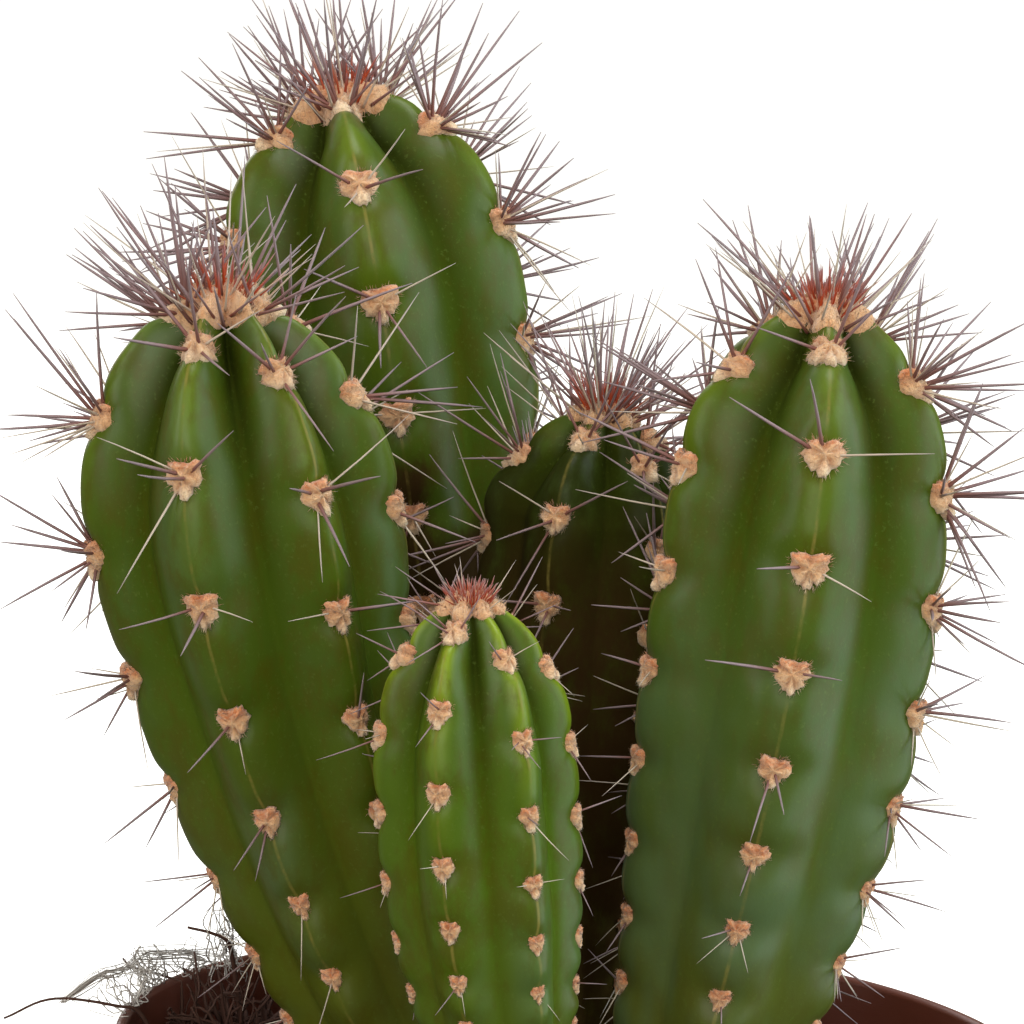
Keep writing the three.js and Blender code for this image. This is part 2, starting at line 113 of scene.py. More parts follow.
PAD_ABOVE = 2.1
PAD_BELOW = 3.2
PAD_HALF_WIDTH = 2.9
PAD_THICKNESS = 1.7
PAD_SHRINK_AT_FOOT = 0.35
CROWN_WOOL = 1.3
NOTCH_DEPTH = 1.7
NOTCH_REACH = 3.0
LOWEST_AREOLE = 4.0
CLOSEST_AREOLES = 0.45
GAP_CURVE = 1.5


@dataclass(frozen=True, kw_only=True)
class StemPlan:
    """One stem, in millimetres and degrees.

    foot and tip are places on the ground plan, and bow is how far the middle swings to the right. full_at is
    the share of the height at which the stem is stoutest, and dome_length is counted in full radii. Each rib
    has an angle, counted from the front to the right, a distance from the crown to its first areole, and a
    share that says how richly it is spined. Dark bark starts at cork_and_shade_from, a share of the way from
    crown to soil, and cork_and_shade_share says how strongly it is laid on: it is cork, and on the stems that
    stand behind the others it is also painted shade.
    """

    name: str
    seed: int
    foot: tuple
    tip: tuple
    bow: float
    height: float
    foot_radius: float
    full_radius: float
    full_at: float
    dome_length: float
    dome_power: float
    twist: float = 0.0
    rib_angles: tuple
    first_areoles: tuple
    areole_gap: float
    gap_shrink: float
    pad_size: float = 1.0
    spine_length: float
    spine_girth: float = 1.0
    spine_shares: tuple
    long_crown_spines: float = 0.36
    crown_fullness: float = 1.0
    youth: float
    bloom_and_sheen: float = 0.1
    cork_and_shade_from: float = 0.95
    cork_and_shade_share: float = 1.0


STEM_PLANS = (
    StemPlan(
        name="stem_left",
        seed=11,
        foot=(-15.6, -3.5),
        tip=(-50.7, -10.0),
        bow=-6.4,
        height=107.5,
        foot_radius=13.2,
        full_radius=21.4,
        full_at=0.9,
        dome_length=1.67,
        dome_power=2.25,
        rib_angles=(-16, 35, 80, 131, 182, 233, 283),
        first_areoles=(11.4, 16.5, 5.2, 13.0, 18.0, 10.0, 5.3),
        areole_gap=17.8,
        gap_shrink=0.79,
        spine_length=16.5,
        spine_shares=(0.35, 0.4, 0.3, 0.4, 1.1, 1.2, 1.2),
        crown_fullness=0.64,
        youth=0.35,
    ),
    StemPlan(
        name="stem_back",
        seed=22,
        foot=(-16.2, 40.0),
        tip=(-39.6, 46.0),
        bow=2.1,
        height=128.0,
        foot_radius=10.2,
        full_radius=21.4,
        full_at=0.8,
        dome_length=1.43,
        dome_power=2.7,
        rib_angles=(5, 75, 130, 183, 238, 295),
        first_areoles=(5.6, 15.0, 8.0, 13.0, 6.5, 11.4),
        areole_gap=16.7,
        gap_shrink=0.84,
        spine_length=16.5,
        spine_shares=(0.35, 1.7, 1.7, 1.0, 1.3, 1.1),
        crown_fullness=0.7,
        youth=0.3,
        # Dark bark low on this stem: partly cork, partly painted shade, as it stands behind the others.
        cork_and_shade_from=0.37,
    ),
    StemPlan(
        name="stem_right",
        seed=33,
        foot=(12.6, -14.0),
        tip=(24.3, -12.0),
        bow=2.8,
        height=110.6,
        foot_radius=12.2,
        full_radius=18.9,
        full_at=0.59,
        dome_length=1.58,
        dome_power=2.2,
        twist=9.0,
        rib_angles=(-1, 70, 127, 181, 236, 289),
        first_areoles=(10.5, 16.0, 10.0, 15.0, 9.0, 15.3),
        areole_gap=15.1,
        gap_shrink=0.66,
        spine_length=15.5,
        spine_shares=(0.3, 1.7, 1.5, 1.0, 1.1, 0.35),
        youth=0.3,
        # Strong waxy haze over the lower stem: partly the skin's wax, partly a painted sheen.
        bloom_and_sheen=0.9,
    ),
    StemPlan(
        name="stem_small_back",
        seed=44,
        foot=(0.5, 17.0),
        tip=(-1.5, 17.0),
        bow=-2.2,
        height=91.8,
        foot_radius=8.6,
        full_radius=14.3,
        full_at=0.6,
        dome_length=0.96,
        dome_power=1.33,
        rib_angles=(-22, 40, 98, 155, 212, 268),
        first_areoles=(8.0, 11.5, 7.5, 13.0, 9.0, 13.5),
        areole_gap=12.2,
        gap_shrink=0.5,
        pad_size=0.85,
        spine_length=15.5,
        spine_girth=0.85,
        spine_shares=(0.35, 0.4, 0.7, 0.9, 0.9, 0.6),
        long_crown_spines=0.5,
        crown_fullness=1.1,
        # Low youth, no waxy haze and dark bark from the crown down darken this stem: painted shade, as it
        # stands in the others' shade; lower down the bark is also cork.
        youth=0.1,
        bloom_and_sheen=0.0,
        cork_and_shade_from=-0.02,
        cork_and_shade_share=0.72,
    ),
    StemPlan(
        name="stem_small_front",
        seed=55,
        foot=(-6.3, -30.0),
        tip=(-17.3, -33.0),
        bow=-1.6,
        height=74.6,
        foot_radius=7.5,
        full_radius=12.6,
        full_at=0.6,
        dome_length=1.83,
        dome_power=2.34,
        rib_angles=(-21, 33, 84, 134, 182, 230, 278),
        first_areoles=(6.4, 10.7, 13.5, 8.0, 12.0, 7.0, 11.2),
        areole_gap=10.9,
        gap_shrink=0.91,
        pad_size=0.72,
        spine_length=8.0,
        spine_girth=0.65,
        spine_shares=(0.22, 0.22, 0.2, 0.4, 0.5, 0.4, 0.2),
        long_crown_spines=0.06,
        youth=0.75,
    ),
)


# Small maths helpers

WAVE_LENGTHS = (0.7, 1.4)


def smooth(value, low, high):
    """A soft step from 0 at low to 1 at high."""
    share = np.clip((np.asarray(value, float) - low) / (high - low), 0.0, 1.0)
    return share * share * (3.0 - 2.0 * share)


def lerp(a, b, share):
    """A straight blend from a to b."""
    return a + (b - a) * share


def unit(vectors):
    """Vectors along the last axis, brought to length one."""
    vectors = np.asarray(vectors, float)
    return vectors / np.maximum(np.linalg.norm(vectors, axis=-1, keepdims=True), TINY)


def waves(points, size, seed, count=7):
    """Smooth noise from about -1 to 1: the mean of plane waves of about that size in seeded directions."""
    draw = np.random.default_rng(seed)
    directions = unit(draw.normal(size=(count, 3)))
    lengths = size * draw.uniform(*WAVE_LENGTHS, count)
    phases = draw.uniform(0, 2 * math.pi, count)
    turns = points @ (directions * (2 * math.pi / lengths)[:, None]).T + phases
    return np.sin(turns).sum(-1) / math.sqrt(count)


def full_turn(count):
    """Angles evenly spaced round a full turn."""
    return np.arange(count) * 2 * math.pi / count


def round_axis(radius, angle, height):
    """Points round the pot's axis, from their radius, angle and height."""
    parts = np.broadcast_arrays(radius * np.cos(angle), radius * np.sin(angle), height)
    return np.stack(parts, -1)


def linear_colour(code):
    """A colour written as six hex digits, in linear light with full alpha."""
    parts = [int(code[i:i + 2], 16) / 255 for i in (0, 2, 4)]
    light = [part / 12.92 if part <= 0.04045 else ((part + 0.055) / 1.055) ** 2.4 for part in parts]
    return (*light, 1.0)


# Mesh helpers

def face_lists(faces):
    """Arrays of faces as one list of index lists."""
    return [face for group in faces for face in group.tolist()]


def new_piece(name, points, faces, finish, node, marks=None):
    """Makes a smooth mesh object from points in millimetres and arrays of faces, and puts it into the frame.

    It replaces the node. marks are numbers per point, by name, that the finish reads.
    """
    mesh = bpy.data.meshes.new(name)
    polygons = face_lists(faces)
    mesh.from_pydata((np.asarray(points, float) * MM).tolist(), [], polygons)
    mesh.polygons.foreach_set("use_smooth", np.ones(len(polygons), bool))
    for mark, values in (marks or {}).items():
        attribute = mesh.attributes.new(mark, "FLOAT", "POINT")
        attribute.data.foreach_set("value", np.asarray(values, np.float32).ravel())
    mesh.materials.append(finish)
    mesh.update()
    piece = bpy.data.objects.new(name, mesh)
    bpy.context.scene.collection.objects.link(piece)
    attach(piece, "root")
    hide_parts(node)
    return piece


def wrapped_grid(rows, columns, start=0):
    """Faces of a grid of points that closes on itself sideways.

    They face outwards where its rows run down and its columns run anticlockwise, seen from above.
    """
    row, column = np.meshgrid(np.arange(rows - 1), np.arange(columns), indexing="ij")
    beside = (column + 1) % columns
    corners = (
        (row + 1) * columns + column,
        (row + 1) * columns + beside,
        row * columns + beside,
        row * columns + column,
    )
    return start + np.stack(corners, -1).reshape(-1, 4)


def fan(centre, ring, upward=True):
    """Triangles from a centre point to a closed ring of points."""
    beside = np.roll(ring, -1)
    middle = np.full(len(ring), centre)
    order = (middle, ring, beside) if upward else (middle, beside, ring)
    return np.stack(order, -1)


def closed_grid(rows, columns):
    """Faces of a wrapped grid that two more points close, above its first row and below its last one."""
    total = rows * columns
    ring = np.arange(columns)
    return [
        wrapped_grid(rows, columns),
        fan(total, ring),
        fan(total + 1, total - columns + ring, upward=False),
    ]


def tubes(paths, widths, sides):
    """Closed tubes along many paths at once.

    paths is tubes x steps x 3 and widths is tubes x steps. Round each step lies a ring of points: the path's
    point, plus half the width times the cosine of the ring's angle along a side direction and its sine along
    the direction square to that and to the path. The side direction is carried from step to step.
    """
    count, steps, _ = paths.shape
    along = unit(np.gradient(paths, axis=1))
    sideways = np.empty_like(along)
    helper = np.eye(3)[np.argmin(np.abs(along[:, 0]), axis=-1)]
    carried = unit(np.cross(along[:, 0], helper))
    for step in range(steps):
        facing = along[:, step]
        carried = unit(carried - facing * (carried * facing).sum(-1, keepdims=True))
        sideways[:, step] = carried
    across = np.cross(along, sideways)
    angle = full_turn(sides)
    ring = sideways[:, :, None] * np.cos(angle)[:, None] + across[:, :, None] * np.sin(angle)[:, None]
    points = paths[:, :, None] + ring * (widths[:, :, None, None] / 2)
    tube, step, side = np.meshgrid(np.arange(count), np.arange(steps - 1), np.arange(sides), indexing="ij")
    first = (tube * steps + step) * sides
    beside = (side + 1) % sides
    walls = np.stack((first + side, first + beside, first + sides + beside, first + sides + side), -1)
    starts = np.arange(count)[:, None] * steps * sides
    roots = starts + np.arange(sides)[::-1]
    tips = starts + (steps - 1) * sides + np.arange(sides)
    return points.reshape(-1, 3), [walls.reshape(-1, 4), roots, tips]


def joined(parts):
    """Several (points, faces, marks) parts as one."""
    points, faces, marks = [], [], {}
    start = 0
    for part_points, part_faces, part_marks in parts:
        points.append(part_points)
        faces.extend(group + start for group in part_faces)
        for mark, values in part_marks.items():
            marks.setdefault(mark, []).append(np.asarray(values, float).ravel())
        start += len(part_points)
    return np.concatenate(points), faces, {mark: np.concatenate(values) for mark, values in marks.items()}


# The shape of a stem

OUTLINE_STEPS = 801
GROOVE_RISE = 1.5
SPOT_REACH = 0.5


class Stem:
    """A stem's surface as a function of two numbers.

    rib is 0 on one rib's edge, 1 on the next and so on, and way is the distance gone along the outline from
    the crown.
    """

    def __init__(self, plan):
        self.plan = plan
        self.count = len(plan.rib_angles)
        heights = plan.height * (1 - np.linspace(0, 1, OUTLINE_STEPS) ** 2)
        widths = self.stoutness(heights)
        for width, depth in ROOT_OUTLINE:
            widths = np.append(widths, plan.foot_radius * width)
            heights = np.append(heights, -ROOT_DEPTH * depth)
        self.ways = np.concatenate([[0], np.cumsum(np.hypot(np.diff(widths), np.diff(heights)))])
        self.widths, self.heights = widths, heights
        self.soil_way = float(np.interp(0, -heights, self.ways))
        turns = np.unwrap(np.radians([*plan.rib_angles, plan.rib_angles[0] + 360]))
        span = 2 * math.pi
        self.angle_ribs = np.arange(-self.count, 2 * self.count + 1)
        self.angles = np.concatenate([turns[:-1] - span, turns[:-1], turns + span])
        self.areoles = [self.areole_row(first) for first in plan.first_areoles]

    def stoutness(self, height):
        """Radius at a height: it swells softly from the foot and closes in a dome at the top."""
        plan = self.plan
        share = np.asarray(height, float) / plan.height
        body = plan.foot_radius + (plan.full_radius - plan.foot_radius) * smooth(share, 0, plan.full_at)
        dome = plan.dome_length * plan.full_radius / plan.height
        into = np.clip((share - 1 + dome) / dome, 0, 1)
        return body * np.sqrt(np.clip(1 - into ** plan.dome_power, 0, 1))

    def areole_row(self, first):
        """Areoles down one rib as (way, size) pairs: closer together and smaller towards the old foot."""
        places = []
        way = first
        while way < self.soil_way - LOWEST_AREOLE:
            share = way / self.soil_way
            places.append((way, self.plan.pad_size * (1 - PAD_SHRINK_AT_FOOT * share)))
            way += self.plan.areole_gap * max(CLOSEST_AREOLES, 1 - self.plan.gap_shrink * share ** GAP_CURVE)
        return places

    def middle(self, height):
        """The stem's middle line: a straight run from foot to tip, plus the bow as a parabola."""
        plan = self.plan
        share = np.asarray(height, float) / plan.height
        swing = np.where(share < 0, 4 * share, 4 * share * (1 - share))
        x = plan.foot[0] + (plan.tip[0] - plan.foot[0]) * share + plan.bow * swing
        y = plan.foot[1] + (plan.tip[1] - plan.foot[1]) * share
        return np.stack([x, y, SOIL_LEVEL + height], -1)

    def directions(self, height):
        """Across, away and along: the middle line's own right, back and up at a height."""
        plan = self.plan
        share = np.maximum(np.asarray(height, float), 0) / plan.height
        x = (plan.tip[0] - plan.foot[0] + plan.bow * 4 * (1 - 2 * share)) / plan.height
        y = np.full_like(x, (plan.tip[1] - plan.foot[1]) / plan.height)
        along = unit(np.stack([x, y, np.ones_like(x)], -1))
        across = unit(np.array([1.0, 0, 0]) - along * along[..., :1])
        return across, np.cross(along, across), along

    def outward(self, way):
        """The outline's outward direction as (sideways, upwards), averaged over a few millimetres."""
        ahead, behind = way + OUTLINE_BLUR, np.maximum(way - OUTLINE_BLUR, 0)
        drop = np.interp(behind, self.ways, self.heights) - np.interp(ahead, self.ways, self.heights)
        spread = np.interp(ahead, self.ways, self.widths) - np.interp(behind, self.ways, self.widths)
        length = np.hypot(drop, spread)
        return drop / length, spread / length

    def groove(self, rib, way, height):
        """How deep the surface lies under the ribs' edges.

        It is part a power of the sine of the way to the furrow and part a straight run with a rounded start,
        so that the flanks are flat and meet in a crease. It is deeper towards the top and fades out at the
        crown and at the soil.
        """
        share = np.clip(height / self.plan.height, 0, 1)
        depth = lerp(GROOVE_AT_FOOT, GROOVE_AT_TOP, share ** GROOVE_RISE) * self.plan.full_radius
        fade = smooth(way, 0, GROOVE_FADE_AT_CROWN) * smooth(height, 0, GROOVE_FADE_AT_SOIL)
        beside = 2 * np.abs(rib - np.round(rib))
        bowed = np.sin(math.pi / 2 * beside) ** GROOVE_CURVE
        straight = np.hypot(beside, EDGE_ROUNDING) - EDGE_ROUNDING
        straight = straight / (math.hypot(1, EDGE_ROUNDING) - EDGE_ROUNDING)
        return depth * fade * lerp(bowed, straight, FLANK_STRAIGHTNESS)

    def notch(self, rib, way):
        """How deep the nearest rib's edge is nicked: a soft dip at each areole, lost towards the furrows."""
        nearest = np.round(rib).astype(int)
        beside = (1 - 2 * np.abs(rib - nearest)) ** 2
        dips = np.zeros(np.broadcast(rib, way).shape)
        for index, places in enumerate(self.areoles):
            mine = (nearest % self.count) == index
            for place, size in places:
                dip = NOTCH_DEPTH * size * np.exp(-((way - place) / (NOTCH_REACH * size)) ** 2)
                dips = np.where(mine, np.maximum(dips, dip), dips)
        return dips * beside

    def spacing(self, way):
        """The distance from one rib's edge to the next."""
        return 2 * math.pi * np.interp(way, self.ways, self.widths) / self.count

    def surface(self, rib, way, lift=0.0):
        """Points of the surface, lifted off it.

        Each is the middle line, plus the outline's radius turned to the rib's angle, less the groove and the
        notch along the outline's outward direction.
        """
        rib, way, lift = np.broadcast_arrays(rib, way, lift)
        rib, way = rib.astype(float), way.astype(float)
        width = np.interp(way, self.ways, self.widths)
        height = np.interp(way, self.ways, self.heights)
        sideways, upwards = self.outward(way)
        out = lift - self.groove(rib, way, height) - self.notch(rib, way)
        twist = math.radians(self.plan.twist) * (height / self.plan.height - 0.5)
        angle = np.interp(rib, self.angle_ribs, self.angles) + twist
        across, away, along = self.directions(height)
        reach = (width + out * sideways)[..., None]
        points = self.middle(height) + reach * across * np.sin(angle)[..., None]
        points = points - reach * away * np.cos(angle)[..., None]
        return points + along * (out * upwards)[..., None]

    def spot(self, rib, way):
        """The side, up and out directions of the surface at a place."""
        up = unit(self.surface(rib, way - SPOT_REACH) - self.surface(rib, way + SPOT_REACH))
        out = unit(self.surface(rib, way, 1.0) - self.surface(rib, way))
        side = unit(np.cross(up, out))
        return side, np.cross(out, side), out


# Skin

SKIN_COLUMNS_PER_RIB = 22
SKIN_ROW_STEP = 0.62
SKIN_START = 0.004
BURIED_ROWS = (-3.0, -7.0, -11.0, -14.6)
WIDE_DENT_DEPTH, WIDE_DENT_SIZE = 0.22, 26.0
SMALL_DENT_DEPTH, SMALL_DENT_SIZE = 0.07, 7.0
DENTS_FADE_AT_CROWN = 8.0
DENTS_FADE_AT_SOIL = 4.0
CORK_SPREAD = 0.14
CORK_DIP = 0.1
CORK_WANDER = 0.04
CORK_WAVE = 16.0


def skin_dents(stem, points, way):
    """Slow dents of two sizes, as a lift off the surface. They fade out at the crown and at the soil."""
    seed = stem.plan.seed
    wide = WIDE_DENT_DEPTH * waves(points, WIDE_DENT_SIZE, seed)
    small = SMALL_DENT_DEPTH * waves(points, SMALL_DENT_SIZE, seed + 1)
    buried = smooth(way, stem.soil_way - DENTS_FADE_AT_SOIL, stem.soil_way)
    return (wide + small) * (smooth(way, 0, DENTS_FADE_AT_CROWN) * (1 - buried))


def skin_marks(stem, points, rib, way):
    """What the skin's finish reads, ending with the points that close the crown and the root.

    Cork starts at a share of the way from the crown, lower in the furrows and with a wandering border. On the
    stems that stand behind the others this cork is also painted shade.
    """
    plan = stem.plan
    beside = np.abs(rib - np.round(rib))
    border = plan.cork_and_shade_from + CORK_DIP * beside + CORK_WANDER * waves(points, CORK_WAVE, plan.seed + 2)
    cork_and_shade = plan.cork_and_shade_share * smooth(way / stem.soil_way - border, 0, CORK_SPREAD)
    total = way.size + 2
    return {
        "from_edge": np.append(beside * stem.spacing(way), [0, 0]),
        "furrow": np.append(2 * beside, [0, 0]),
        "age": np.append(np.clip(way / stem.soil_way, 0, 1), [0, 1]),
        "youth": np.full(total, plan.youth),
        # A waxy haze per stem, partly the skin's wax and partly a painted sheen.
        "bloom_and_sheen": np.full(total, plan.bloom_and_sheen),
        "cork": np.append(cork_and_shade, [0, 1]),
    }


def make_skin(stem, finish):
    """The skin is the stem's surface on a grid of ways and ribs, with dents laid over it."""
    rows = int(stem.soil_way / SKIN_ROW_STEP)
    above = stem.soil_way * np.linspace(SKIN_START, 1, rows)
    below = np.interp(BURIED_ROWS, stem.heights[::-1], stem.ways[::-1])
    ways = np.concatenate([above, below])
    ribs = np.arange(stem.count * SKIN_COLUMNS_PER_RIB) / SKIN_COLUMNS_PER_RIB
    way, rib = np.meshgrid(ways, ribs, indexing="ij")
    dents = skin_dents(stem, stem.surface(rib, way), way)
    points = stem.surface(rib, way, dents)
    ends = [stem.surface(0.0, 0.0), stem.surface(0.0, stem.ways[-1])]
    marks = skin_marks(stem, points, rib, way)
    faces = closed_grid(len(ways), len(ribs))
    points = np.concatenate([points.reshape(-1, 3), ends])
    return new_piece(stem.plan.name + "_skin", points, faces, finish, stem.plan.name, marks)


# Wool

WOOL_SEED_STEP = 100
PAD_RINGS = np.array([0.16, 0.34, 0.52, 0.68, 0.82, 0.94, 1.0])
PAD_TURNS = full_turn(36)
PAD_SIDE_POWER = 0.75
PAD_TOP_POWER = 0.6
PAD_POINT = 0.5
PAD_POINT_POWER = 1.1
PAD_CORNERS = 0.16
SMALL_PAD_SLIMNESS = (0.6, 0.42)
PAD_DOME_POWER = 2.6
DOME_EDGE_POWER = 0.6
PAD_TUFTS = 5
TUFT_STRAY = 0.22
TUFT_HEIGHT = 0.13
CLEFT_DEPTH = 0.28
CLEFT_NARROWNESS = 2.6
CLEFT_OPENING = 0.6
CLEFT_START = (0.05, 0.4)
PAD_SPREAD = 1.02
PAD_RAGGEDNESS = 0.06
EDGE_CLEFT_DEPTH = 0.15
EDGE_CLEFT_NARROWNESS = 4.0
PAD_EDGE_SINK = 0.35

CROWN_RINGS = np.linspace(0, 1, 11)[1:]
CROWN_RIM = 84
CROWN_WOOL_RADIUS = 0.34
CROWN_WOOL_SPREAD, CROWN_CLEFT_SPREAD = 1.12, 0.34
CROWN_DOME_POWER = 2.4
CROWN_CLEFT_DEPTH = 0.7
CROWN_CLEFT_FROM_RIB, CROWN_CLEFT_FROM_PEAK = (0.15, 0.5), (0.15, 0.6)
CROWN_PEAK_WAY = 0.02
CROWN_TUFT_HEIGHT = 0.2
CROWN_EDGE_SINK = 0.5
CROWN_FOXINESS = (2.2, 2.4)
CROWN_HAIR_SHADE = 0.6

HAIR_WIDTH = 0.09
HAIR_STRAY = 0.45
HAIR_LEANS = (0.3, 0.8)
PAD_HAIR_LENGTHS = (0.5, 1.1)
PAD_HAIR_DEPTH = 0.25
PAD_HAIR_AREA = (0.05, 1.0)
CROWN_HAIR_LENGTHS = (0.8, 2.0)
CROWN_HAIR_DEPTH = 0.3

WORN_AGES = (0.3, 0.85)
WORN_PAD = 0.22
WORN_TINT = 1.3


def cleft_turns(stem, rib, number):
    """The directions in which a pad is cleft, the first one straight up, and in which its spines lie."""
    draw = np.random.default_rng([stem.plan.seed, rib, number])
    gap = 2 * math.pi / PAD_TUFTS
    return math.pi / 2 + gap * (np.arange(PAD_TUFTS) + draw.uniform(-TUFT_STRAY, TUFT_STRAY, PAD_TUFTS))


def off_cleft(turn, clefts):
    """The angle from a direction to the nearest cleft, with its sign."""
    apart = (clefts - np.asarray(turn)[..., None] + math.pi) % (2 * math.pi) - math.pi
    nearest = np.argmin(np.abs(apart), axis=-1)
    return np.take_along_axis(apart, nearest[..., None], axis=-1)[..., 0]


def cap_faces(rings, rim, start, centre):
    """Faces of a cap: rings of points from start on, with a centre point above and one flat face below."""
    first = start + np.arange(rim)
    last = first + (rings - 1) * rim
    return [wrapped_grid(rings, rim, start), fan(centre, first), last[::-1][None]]


def pad_outline(size):
    """A pad's edge, across and up from its middle: a flat top with two corners, drawn in to a point below.

    Small pads are slimmer.
    """
    rise, run = np.sin(PAD_TURNS), np.cos(PAD_TURNS)
    low = np.clip(-rise, 0, 1)
    least, gain = SMALL_PAD_SLIMNESS
    slim = min(1.0, least + gain * size)
    across = PAD_HALF_WIDTH * size * slim * np.sign(run) * np.abs(run) ** PAD_SIDE_POWER
    across = across * (1 - PAD_POINT * low)
    corners = 1 + PAD_CORNERS * np.sin(2 * np.abs(np.arctan2(rise, np.abs(run))))
    top = PAD_ABOVE * np.abs(rise) ** PAD_TOP_POWER * corners
    up = np.where(rise > 0, top, -PAD_BELOW * low ** PAD_POINT_POWER)
    return across, up * size


def pad_lift(share, turn, clefts, size):
    """How high a pad stands over the skin: a low dome, cut by clefts that run out from its middle."""
    dome = PAD_THICKNESS * size * (1 - share ** PAD_DOME_POWER) ** DOME_EDGE_POWER
    beside = off_cleft(turn, clefts) * (CLEFT_OPENING + share) * CLEFT_NARROWNESS
    cleft = np.exp(-beside ** 2) * smooth(share, *CLEFT_START)
    return dome * (1 - CLEFT_DEPTH * cleft), cleft


def pad_points(stem, rib, way, size, clefts, draw):
    """A pad: its outline shrunk ring by ring to its middle, and lifted off the skin as a low, cleft dome.

    The edge is drawn in at the clefts, which leaves tufts between them, and is sunk into the skin.
    """
    rim = len(PAD_TURNS)
    edge_across, edge_up = pad_outline(size)
    drawn_in = np.exp(-(off_cleft(PAD_TURNS, clefts) * EDGE_CLEFT_NARROWNESS) ** 2)
    ragged = PAD_SPREAD + draw.normal(0, PAD_RAGGEDNESS, rim) - EDGE_CLEFT_DEPTH * drawn_in
    across = np.append(0, (PAD_RINGS[:, None] * edge_across * ragged).ravel())
    up = np.append(0, (PAD_RINGS[:, None] * edge_up * ragged).ravel())
    share = np.append(0, np.repeat(PAD_RINGS, rim))
    turn = np.append(0, np.tile(PAD_TURNS, len(PAD_RINGS)))
    dome, cleft = pad_lift(share, turn, clefts, size)
    at_edge = share == 1
    tufts = draw.normal(0, TUFT_HEIGHT * size, len(share)) * ~at_edge
    sunk = np.where(at_edge, -PAD_EDGE_SINK, 0.0)
    points = stem.surface(rib + across / stem.spacing(way), way - up, dome + tufts + sunk)
    # The deep mark darkens the wool in the clefts: partly the red brown of the spines' roots, partly painted
    # shade.
    marks = {"height": up / size, "deep": cleft, "shade": draw.normal(0, 1, len(share))}
    return points, cap_faces(len(PAD_RINGS), rim, 1, 0), marks


def hairs(roots, aims, lengths, height, deep, draw):
    """Short hairs: slim three-sided cones.

    Three points lie round each root, square to the hair, and one at its tip, which leans from the aim to a
    random side. height and deep are the roots' marks.
    """
    aims = unit(aims + HAIR_STRAY * unit(draw.normal(size=roots.shape)))
    sideways = unit(np.cross(aims, draw.normal(size=roots.shape)))
    across = np.cross(aims, sideways)
    angle = full_turn(3)
    ring = sideways[:, None] * np.cos(angle)[:, None] + across[:, None] * np.sin(angle)[:, None]
    tips = roots + lengths[:, None] * aims
    points = np.concatenate([roots[:, None] + HAIR_WIDTH / 2 * ring, tips[:, None]], axis=1)
    shape = np.array([(0, 1, 3), (1, 2, 3), (2, 0, 3), (0, 2, 1)])
    count, per_hair, _ = points.shape
    faces = (per_hair * np.arange(count)[:, None, None] + shape).reshape(-1, 3)
    marks = {"height": height, "deep": deep, "shade": draw.normal(0, 1, count)}
    marks = {mark: np.repeat(values, per_hair) for mark, values in marks.items()}
    return points.reshape(-1, 3), [faces], marks


def pad_hairs(stem, rib, way, size, count, clefts, draw):
    """Hairs that stand out of a pad, leaning away from its middle, and lie down round its edge."""
    turn = draw.uniform(0, 2 * math.pi, count)
    share = np.sqrt(draw.uniform(*PAD_HAIR_AREA, count))
    place = turn / (2 * math.pi) * len(PAD_TURNS)
    across, up = (
        share * np.interp(place, np.arange(len(PAD_TURNS) + 1), np.append(edge, edge[0]))
        for edge in pad_outline(size)
    )
    dome, cleft = pad_lift(share, turn, clefts, size)
    roots = stem.surface(rib + across / stem.spacing(way), way - up, dome - PAD_HAIR_DEPTH)
    side, upward, out = stem.spot(rib, way)
    lean = lerp(*HAIR_LEANS, share)
    aims = unit(out + side * (lean * across)[:, None] + upward * (lean * up)[:, None])
    return hairs(roots, aims, size * draw.uniform(*PAD_HAIR_LENGTHS, count), up / size, cleft, draw)


def crown_lift(stem, rib, share):
    """How far from the crown its wool lies, how high it stands and how deeply it is cleft there.

    The wool is a dome with a tuft on each rib and a cleft between the ribs.
    """
    beside = np.abs(rib - np.round(rib))
    cleft = smooth(beside, *CROWN_CLEFT_FROM_RIB) * smooth(share, *CROWN_CLEFT_FROM_PEAK)
    dome = CROWN_WOOL * stem.plan.pad_size * (1 - share ** CROWN_DOME_POWER) ** DOME_EDGE_POWER
    spread = CROWN_WOOL_SPREAD - CROWN_CLEFT_SPREAD * cleft
    way = CROWN_WOOL_RADIUS * stem.plan.full_radius * share * spread
    return way, dome * (1 - CROWN_CLEFT_DEPTH * cleft), cleft


def crown_foxiness(share):
    """The height mark of the crown's wool: foxy in the middle and paler outwards."""
    middle, fall = CROWN_FOXINESS
    return middle - fall * share


def crown_cushion(stem, draw):
    """The crown's cushion of wool, a dome of tufts over the crown whose edge is sunk into the skin."""
    rib = np.tile(np.arange(CROWN_RIM) * stem.count / CROWN_RIM, len(CROWN_RINGS))
    share = np.repeat(CROWN_RINGS, CROWN_RIM)
    at_edge = share == 1
    way, dome, cleft = crown_lift(stem, rib, share)
    dome = dome + draw.normal(0, CROWN_TUFT_HEIGHT, len(share)) * ~at_edge
    points = stem.surface(rib, way, dome + np.where(at_edge, -CROWN_EDGE_SINK, 0.0))
    peak = stem.surface(0.0, CROWN_PEAK_WAY, CROWN_WOOL * stem.plan.pad_size)
    total = len(points)
    # The deep mark darkens the cushion's clefts between the ribs: painted shade.
    marks = {
        "height": np.append(crown_foxiness(share), crown_foxiness(0)),
        "deep": np.append(cleft, 0),
        "shade": np.append(draw.normal(0, 1, total), 0),
    }
    faces = cap_faces(len(CROWN_RINGS), CROWN_RIM, 0, total)
    return np.concatenate([points, peak[None]]), faces, marks


